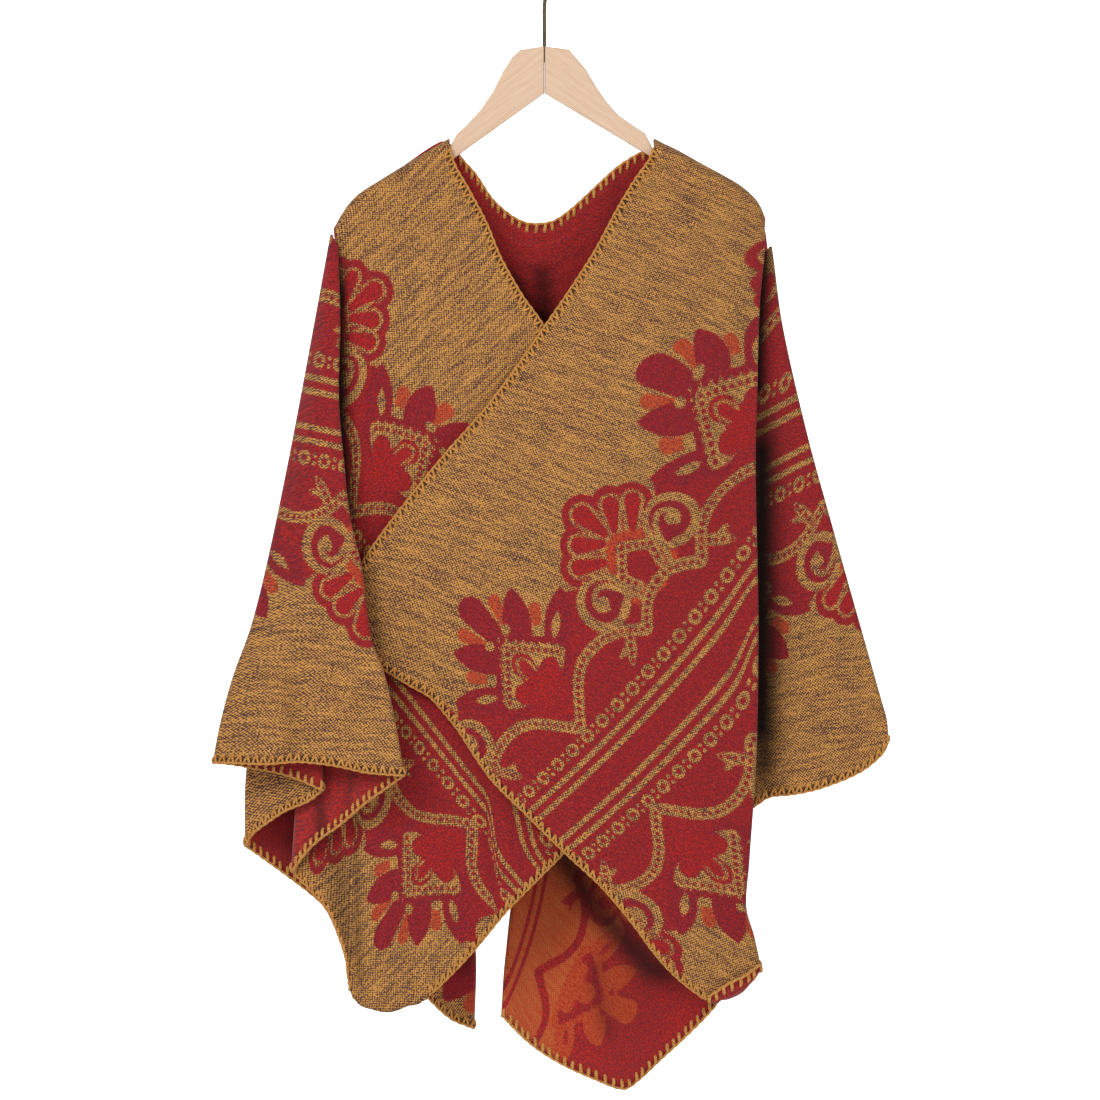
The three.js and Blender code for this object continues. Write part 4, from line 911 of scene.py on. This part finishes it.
def lay_of(panel, grid, s, t):
    name = panel["name"]
    if name in LAY:
        gx, gz = grid[..., 0].copy(), grid[..., 2].copy()
        for cx, cz, rx, rz, mx, mz in NUDGES.get(name, []):
            k = np.exp(-((grid[..., 0] - cx) / rx) ** 2 - ((grid[..., 2] - cz) / rz) ** 2)
            gx, gz = gx + mx * k, gz + mz * k
        u, d = fit_lay(LAY[name])(gx, gz)
        if name in SHIFTS:
            for line, width, amount in SHIFTS[name]:
                dd, side, along, _ = line_distance(grid[..., 0], grid[..., 2], line)
                reach = smooth(along * 1.5) if along.max() > 0 else 1
                k = smooth(0.5 - side * dd / width / 2) * reach
                d = d + amount * k
        return u, d
    (u00, d00), (u10, d10), (u01, d01), (u11, d11) = LAY_FLAT[name]
    mix = lambda a, b, c, e: a * (1 - s) * (1 - t) + b * s * (1 - t) + c * (1 - s) * t + e * s * t
    return mix(u00, u10, u01, u11), mix(d00, d10, d01, d11)


def curl_of(name, grid):
    cols = grid.shape[1]
    x = grid[-1, :, 0]
    out = np.zeros((cols, 3))
    for cname, x0, x1, h, way, bend in CURLS:
        if cname == name:
            k = np.clip((x - x0) / (x1 - x0), 0, 1)
            bump = np.sin(np.pi * np.clip(k, 0, 1)) ** 0.7
            on = (x >= x0) & (x <= x1)
            out[on, 0] = (h * bump)[on]
            out[on, 1] = way
            out[on, 2] = bend
    return out


WALLS = {}
for panel in PANELS:
    name = panel["name"]
    grid, s, t, roll_rows = build_grid(panel)
    u, d = lay_of(panel, grid, s, t)
    grid[..., 1] -= creases(name, grid)
    grid = append_curl(grid, [u, d], roll_rows, curl_of(name, grid))
    n = normals_of(grid)
    rows, cols, _ = grid.shape
    # distance from the stitched edges
    down = np.linalg.norm(np.diff(grid, axis=0), axis=-1)
    from_hem = np.concatenate([np.cumsum(down[::-1], axis=0)[::-1], np.zeros((1, cols))])
    across = np.linalg.norm(np.diff(grid, axis=1), axis=-1)
    edge = from_hem.copy()
    if panel["left"] == "frontEdgeLeft":
        edge = np.minimum(edge, np.concatenate([np.zeros((rows, 1)), np.cumsum(across, axis=1)], 1))
    if panel["right"] == "frontEdgeRight":
        edge = np.minimum(edge, np.concatenate([np.cumsum(across[:, ::-1], axis=1)[:, ::-1], np.zeros((rows, 1))], 1))
    if name == "back_centre":
        top = np.concatenate([np.zeros((1, cols)), np.cumsum(down, axis=0)])
        near_neck = (grid[0, :, 0] > NECK_RIGHT) & (grid[0, :, 0] < NECK_LEFT)
        edge = np.where(near_neck[None, :], np.minimum(edge, top), edge)
    from_top = np.concatenate([np.zeros((1, cols)), np.cumsum(down, axis=0)])
    if name != "back_centre":
        edge = edge + np.maximum(0, 17 - from_top)
    edge = np.minimum(edge, 60)
    WALLS[name] = dict(panel=panel, grid=grid, n=n, u=u, d=d, edge=edge, roll_rows=roll_rows)
    one = grid + n * WALL / 2
    two = grid - n * WALL / 2
    co = np.concatenate([one.reshape(-1, 3), two.reshape(-1, 3)])
    idx = np.arange(rows * cols).reshape(rows, cols)
    back = idx + rows * cols
    q = lambda a, b, c, e: np.stack([a.ravel(), b.ravel(), c.ravel(), e.ravel()], 1)
    f_one = q(idx[:-1, :-1], idx[1:, :-1], idx[1:, 1:], idx[:-1, 1:])
    f_two = q(back[:-1, :-1], back[:-1, 1:], back[1:, 1:], back[1:, :-1])
    r_left = q(idx[:-1, 0], back[:-1, 0], back[1:, 0], idx[1:, 0])
    r_right = q(idx[:-1, -1], idx[1:, -1], back[1:, -1], back[:-1, -1])
    r_top = q(idx[0, :-1], idx[0, 1:], back[0, 1:], back[0, :-1])
    r_hem = q(idx[-1, :-1], back[-1, :-1], back[-1, 1:], idx[-1, 1:])
    faces = np.concatenate([f_one, f_two, r_left, r_right, r_top, r_hem])
    a, b = (0, 1) if panel["face"] == "outer" else (1, 0)
    rim = len(r_left) + len(r_right) + len(r_top) + len(r_hem)
    mat_index = np.concatenate([np.full(len(f_one), a), np.full(len(f_two), b), np.full(rim, a)])
    ob = new_mesh("cloth_" + name, co, faces, [OUTER, INNER], mat_index)
    fig = ornament(u.ravel(), d.ravel())
    two_of = lambda v: np.concatenate([v.ravel(), v.ravel()])
    ya, yb = grid[..., 0] + 0.7 * grid[..., 1], grid[..., 2] + 0.5 * grid[..., 1]
    turn = math.radians(YARN_TURN.get(name, 8))
    put_attr(ob, "yarn", two_of(ya * math.cos(turn) + yb * math.sin(turn)), two_of(yb * math.cos(turn) - ya * math.sin(turn)), two_of(ya))
    put_attr(ob, "lie", two_of(d), two_of(u), two_of(edge))
    cap = lambda v: two_of(np.clip(v, -60, 60))
    put_attr(ob, "figure_a", cap(fig["ground"]), cap(fig["orange"]), cap(fig["maroon"]))
    put_attr(ob, "figure_b", cap(fig["tan"]), cap(fig["bright"]), cap(fig["detail"]))
    # painted shade of the folds, stored in the "depth" attribute
    painted_shade = depths(name, grid)
    painted_shade = np.concatenate([painted_shade.ravel(), np.zeros(painted_shade.size)])    # only on the face that looks out of the fold
    put_attr(ob, "depth", painted_shade, painted_shade, painted_shade)
    put_attr(ob, "figure_c", cap(fig["near"]), two_of(fig["arc"]), cap(fig["glow"]))
    # a plain grid of texture places for the two faces, with the rims between them
    gu, gv = np.meshgrid(np.linspace(0, 1, cols), np.linspace(0, 1, rows))
    uv_v = np.concatenate([np.stack([0.005 + gu * 0.48, 0.01 + gv * 0.98], -1).reshape(-1, 2), np.stack([0.515 + gu * 0.48, 0.01 + gv * 0.98], -1).reshape(-1, 2)])
    corner = uv_v[faces]
    start = len(f_one) + len(f_two)
    strip = 0
    for part in (r_left, r_right, r_top, r_hem):
        m_ = len(part)
        along = np.linspace(0.01, 0.99, m_ + 1)
        u0 = 0.4875 + strip * 0.006
        lo_, hi_ = along[:-1], along[1:]
        order = {0: ((0, 0), (1, 0), (1, 1), (0, 1)), 1: ((0, 0), (0, 1), (1, 1), (1, 0)), 2: ((0, 0), (0, 1), (1, 1), (1, 0)), 3: ((0, 0), (1, 0), (1, 1), (0, 1))}[strip]
        for k, (side, end) in enumerate(order):
            corner[start:start + m_, k, 0] = u0 + side * 0.004
            corner[start:start + m_, k, 1] = hi_ if end else lo_
        start += m_
        strip += 1
    put_uv(ob, faces, corner.reshape(-1, 2))
    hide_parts(name)
    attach(ob, "root")
    WALLS[name]["ob"] = ob


# ---- blanket stitch ----
rng = np.random.default_rng(7)


def tubes(lines, ups, radius, sides, sag=None):
    """lines: (M, P, 3) centre lines, ups: (M, P, 3) a direction across each. Returns points, quads, (length, angle, number)."""
    M, P, _ = lines.shape
    tangent = np.gradient(lines, axis=1)
    tangent /= np.maximum(np.linalg.norm(tangent, axis=-1, keepdims=True), 1e-9)
    side = np.cross(tangent, ups)
    side /= np.maximum(np.linalg.norm(side, axis=-1, keepdims=True), 1e-9)
    up = np.cross(side, tangent)
    ang = np.linspace(0, 2 * np.pi, sides, endpoint=False)
    ring = (up[:, :, None] * np.cos(ang)[None, None, :, None] + side[:, :, None] * np.sin(ang)[None, None, :, None])
    rad = np.asarray(radius)
    rad = rad[..., None, None] if rad.ndim else rad
    pts = lines[:, :, None] + ring * rad
    base = (np.arange(M)[:, None, None] * P + np.arange(P - 1)[None, :, None]) * sides
    k = np.arange(sides)[None, None, :]
    k2 = (k + 1) % sides
    quads = np.stack([base + k, base + k2, base + sides + k2, base + sides + k], -1).reshape(-1, 4)
    seg = np.concatenate([np.zeros((M, 1)), np.cumsum(np.linalg.norm(np.diff(lines, axis=1), axis=-1), axis=1)], 1)
    L = np.broadcast_to(seg[:, :, None], (M, P, sides))
    A = np.broadcast_to((ang / (2 * np.pi))[None, None, :], (M, P, sides))
    R = np.broadcast_to(np.arange(M)[:, None, None] * 3.1, (M, P, sides))
    return pts.reshape(-1, 3), quads, np.stack([L.ravel(), A.ravel(), R.ravel()], 1)


def edge_strip(wall, which):
    """Columns running inward from a stitched edge: (n, depth, 3) points and normals, nearest the edge first."""
    g, n = wall["grid"], wall["n"]
    r = wall["roll_rows"]
    if which == "hem":
        g, n = g[::-1].transpose(1, 0, 2), n[::-1].transpose(1, 0, 2)
    elif which == "left":
        g, n = g[r:], n[r:]
    elif which == "right":
        g, n = g[r:, ::-1], n[r:, ::-1]
    elif which == "neck":
        keep = (g[0, :, 0] > NECK_RIGHT - 4) & (g[0, :, 0] < NECK_LEFT + 4)
        g, n = g[r:, keep].transpose(1, 0, 2), n[r:, keep].transpose(1, 0, 2)
        top = wall["grid"][0, keep]
        g = g.copy()
        g[:, 0] = top
    return g[:, :14], n[:, :14]


class Edge:
    def __init__(self, wall, which):
        g, n = edge_strip(wall, which)
        self.line = g[:, 0]
        self.at = np.concatenate([[0], np.cumsum(np.linalg.norm(np.diff(self.line, axis=0), axis=1))])
        depth = np.concatenate([np.zeros((len(g), 1)), np.cumsum(np.linalg.norm(np.diff(g, axis=1), axis=-1), axis=1)], 1)
        want = np.array([0, 1.5, 3, 4.5, 6, 7.5, 9])
        self.depths = want
        self.p = np.array([[np.interp(want, depth[i], g[i, :, k]) for k in range(3)] for i in range(len(g))]).transpose(0, 2, 1)
        self.nn = np.array([[np.interp(want, depth[i], n[i, :, k]) for k in range(3)] for i in range(len(g))]).transpose(0, 2, 1)

    def sample(self, x, depth, table):
        """table (n, depths, 3) at places x along the edge and depth in from it."""
        x = np.clip(x, 0, self.at[-1])
        i = np.clip(np.searchsorted(self.at, x) - 1, 0, len(self.at) - 2)
        fx = ((x - self.at[i]) / np.maximum(self.at[i + 1] - self.at[i], 1e-9))[..., None]
        k = np.clip(depth / 1.5, 0, 5.999)
        j = k.astype(int)
        fy = (k - j)[..., None]
        a = table[i, j] * (1 - fx) + table[i + 1, j] * fx
        b = table[i, j + 1] * (1 - fx) + table[i + 1, j + 1] * fx
        return a * (1 - fy) + b * fy

    def on(self, x, depth, lift, sign):
        n = self.sample(x, depth, self.nn)
        n = n / np.linalg.norm(n, axis=-1, keepdims=True)
        return self.sample(x, depth, self.p) + n * (sign * lift)[..., None], n * sign


EDGES = [
    ("front_left", "left"), ("front_left", "hem"), ("front_right", "right"), ("front_right", "hem"), ("back_centre", "neck"),
    ("arm_left_front_fold", "hem"), ("arm_left", "hem"), ("arm_left_back", "hem"), ("arm_left_back_fold", "hem"),
    ("arm_right_inner_fold", "hem"), ("arm_right", "hem"), ("arm_right_back", "hem"), ("arm_right_back_fold", "hem"),
    ("back_left", "hem"), ("back_left_pleat", "hem"), ("back_centre", "hem"), ("back_right_pleat", "hem"), ("back_right", "hem"),
]
stitch_parts, cord_parts = [], []
legs = np.linspace(0, 1, 6)
for wall_name, which in EDGES:
    wall = WALLS[wall_name]
    e = Edge(wall, which)
    total = e.at[-1]
    count = max(2, int(round(total / STITCH)))
    x0 = (np.arange(count) + 0.5) * total / count + rng.uniform(-0.7, 0.7, count)
    reach = rng.uniform(6.4, 7.9, count)
    hill = np.sin(np.pi * legs) ** 0.7
    for sign in (1, -1):
        outer = (wall["panel"]["face"] == "outer") == (sign > 0)
        if outer:
            runs = [(-2.9, 0.6), (3.1, 0.9)]
        else:
            runs = [(rng.uniform(-0.9, 0.9, count), rng.uniform(-0.6, 0.6, count))]
        for foot, head in runs:
            foot = np.broadcast_to(foot, (count,)) + rng.uniform(-0.35, 0.35, count)
            head = np.broadcast_to(head, (count,)) + rng.uniform(-0.35, 0.35, count)
            x = x0[:, None] + foot[:, None] * (1 - legs)[None] + head[:, None] * legs[None]
            dep = (-0.0 + reach[:, None] * legs[None] ** 1.0)
            lift = 1.2 + 0.15 + 0.75 * hill[None] - 0.9 * np.clip(legs[None] - 0.8, 0, 1) * 4 + 0 * x
            pts, n = e.on(x, dep, lift, sign)
            # the foot bends round the edge cord
            pts[:, 0] -= n[:, 0] * 0.5
            rad = np.broadcast_to((THREAD if outer else THREAD * 1.45) * np.array([0.9, 1, 1.05, 1.05, 1, 0.85]), (count, 6))
            stitch_parts.append(tubes(pts, n, rad, 5))
    # the cord along the edge, with a small wander from stitch to stitch
    steps = max(8, int(total / 2.4))
    x = np.linspace(0, total, steps)
    pts, n = e.on(x, np.zeros(steps), np.zeros(steps), 1)
    inward = e.sample(x, np.full(steps, 1.5), e.p) - pts
    inward /= np.maximum(np.linalg.norm(inward, axis=-1, keepdims=True), 1e-9)
    phase = x / (total / count) * 2 * np.pi
    pts = pts - inward * (0.5 + 0.35 * np.cos(phase))[:, None] + n * (0.25 * np.sin(phase))[:, None]
    for sign in (1, -1):
        outer = (wall["panel"]["face"] == "outer") == (sign > 0)
        line = pts + n * (sign * 0.75)
        cord_parts.append(tubes(line[None], n[None], CORD * 0.86, 6))


def join(name, parts, mat):
    co, quads, tw = [], [], []
    base = 0
    for p, f, w in parts:
        co.append(p)
        quads.append(f + base)
        tw.append(w)
        base += len(p)
    tw = np.concatenate(tw)
    ob = new_mesh(name, np.concatenate(co), np.concatenate(quads), [mat])
    put_attr(ob, "twist", tw[:, 0], tw[:, 1], tw[:, 2])
    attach(ob, "root")
    return ob


stitches = join("blanket_stitches", stitch_parts, YARN)
cords = join("edge_cord", cord_parts, YARN)

# the part of the one flat cut that each stretch shows (width, length, area in m2) is listed in SHOWN_CUT; this loop
# does nothing with it
for name, (w_, l_, area) in SHOWN_CUT.items():
    "hanger_left" if "left" in name else "hanger_right"

# ---- the hook: one round wire ----
radius, centre = 17 + 1.7, -17.0
rows = [(0, 0, -100), (0, 0, -85), (0, 0, -62), (0.0, 0, -50), (1.2, 0, centre - radius - 4.5)]
for deg in np.arange(-62, 197, 21.5):
    a = math.radians(deg)
    rows.append((radius * math.cos(a), 0, centre + radius * math.sin(a)))
wire = curve(rows)(np.linspace(0, 1, 150))
p, f, w = tubes(wire[None], np.broadcast_to([0, 1.0, 0], (1, 150, 3)), 1.7, 16)
cap_rows = []
end, way = wire[-1], wire[-1] - wire[-2]
way = way / np.linalg.norm(way)
lines = np.array([end + way * k for k in (-0.2, 0.5, 1.0, 1.4, 1.62, 1.7)])
p2, f2, w2 = tubes(lines[None], np.broadcast_to([0, 1.0, 0], (1, 6, 3)), 1.7 * np.sqrt(np.clip(1 - (np.array([0, 0.5, 1.0, 1.4, 1.62, 1.7]) / 1.71) ** 2, 0.0004, 1))[None], 16)
co = np.concatenate([p, p2])
hook = new_mesh("hook_wire", co, np.concatenate([f, f2 + len(p)]), [WIRE])
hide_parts("hook")
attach(hook, "root")

# ---- the hanger's two halves keep their CAD shape ----
for name in ("hanger_left", "hanger_right"):
    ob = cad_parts[name]
    ob.data.materials.clear()
    ob.data.materials.append(WOOD)
    for poly_ in ob.data.polygons:
        poly_.use_smooth = False
    mod = ob.modifiers.new("soft edge", "BEVEL")
    mod.width = 0.0006
    mod.segments = 2
    mod.limit_method = "ANGLE"
    mod.angle_limit = math.radians(25)

# =====================================================================
#  stage, light and camera
# =====================================================================
scene = bpy.context.scene
world = scene.world or bpy.data.worlds.new("studio")
scene.world = world
world.use_nodes = True
bg = next(n for n in world.node_tree.nodes if n.type == "BACKGROUND")
bg.inputs[0].default_value = (1, 1, 1, 1)
bg.inputs[1].default_value = 0.25


def plain(name, colour, emit=0.0):
    mat = bpy.data.materials.new(name)
    mat.use_nodes = True
    b = next(n for n in mat.node_tree.nodes if n.type == "BSDF_PRINCIPLED")
    b.inputs["Base Color"].default_value = colour
    b.inputs["Roughness"].default_value = 0.9
    if emit:
        b.inputs["Emission Color"].default_value = (1, 1, 1, 1)
        b.inputs["Emission Strength"].default_value = emit
    return mat


def quad(name, corners, mat):
    ob = new_mesh(name, np.array(corners, float) * 1000, [[0, 1, 2, 3]], [mat], smooth_faces=False)
    return ob


quad("floor", [(-3, -3, -1.2), (3, -3, -1.2), (3, 2.2, -1.2), (-3, 2.2, -1.2)], plain("pale floor", (0.86, 0.86, 0.85, 1)))
quad("backdrop", [(-3.4, 2.2, -1.2), (3.4, 2.2, -1.2), (3.4, 2.2, 2.4), (-3.4, 2.2, 2.4)], plain("white backdrop", (0.9, 0.9, 0.9, 1), 1.0))


def lamp(name, where, to, size, power):
    data = bpy.data.lights.new(name, "AREA")
    data.shape = "RECTANGLE"
    data.size, data.size_y = size
    data.energy = power
    ob = bpy.data.objects.new(name, data)
    ob.location = where
    ob.rotation_mode = "QUATERNION"
    ob.rotation_quaternion = (Vector(to) - Vector(where)).to_track_quat("-Z", "Y")
    scene.collection.objects.link(ob)
    return ob


lamp("key", (-1.5, -2.6, 0.9), (0, 0, -0.55), (1.3, 1.3), 46)
lamp("fill", (2.2, -2.2, 0.3), (0, 0, -0.6), (1.6, 1.6), 16)
lamp("front", (0.0, -3.4, -0.2), (0, 0, -0.6), (2.0, 1.4), 11)


cam_data = bpy.data.cameras.new("camera")
cam = bpy.data.objects.new("camera", cam_data)
scene.collection.objects.link(cam)
cam.location = (0.0052, -12.0, -0.5572)
cam.rotation_euler = (math.radians(90), 0, 0)
cam_data.sensor_width = 36
cam_data.lens = 36 * (12.0 - 0.035) / 1.0285
cam_data.clip_start, cam_data.clip_end = 0.1, 60
cam_data.dof.use_dof = False
scene.camera = cam
scene.view_settings.view_transform = "Standard"
scene.view_settings.look = "None"
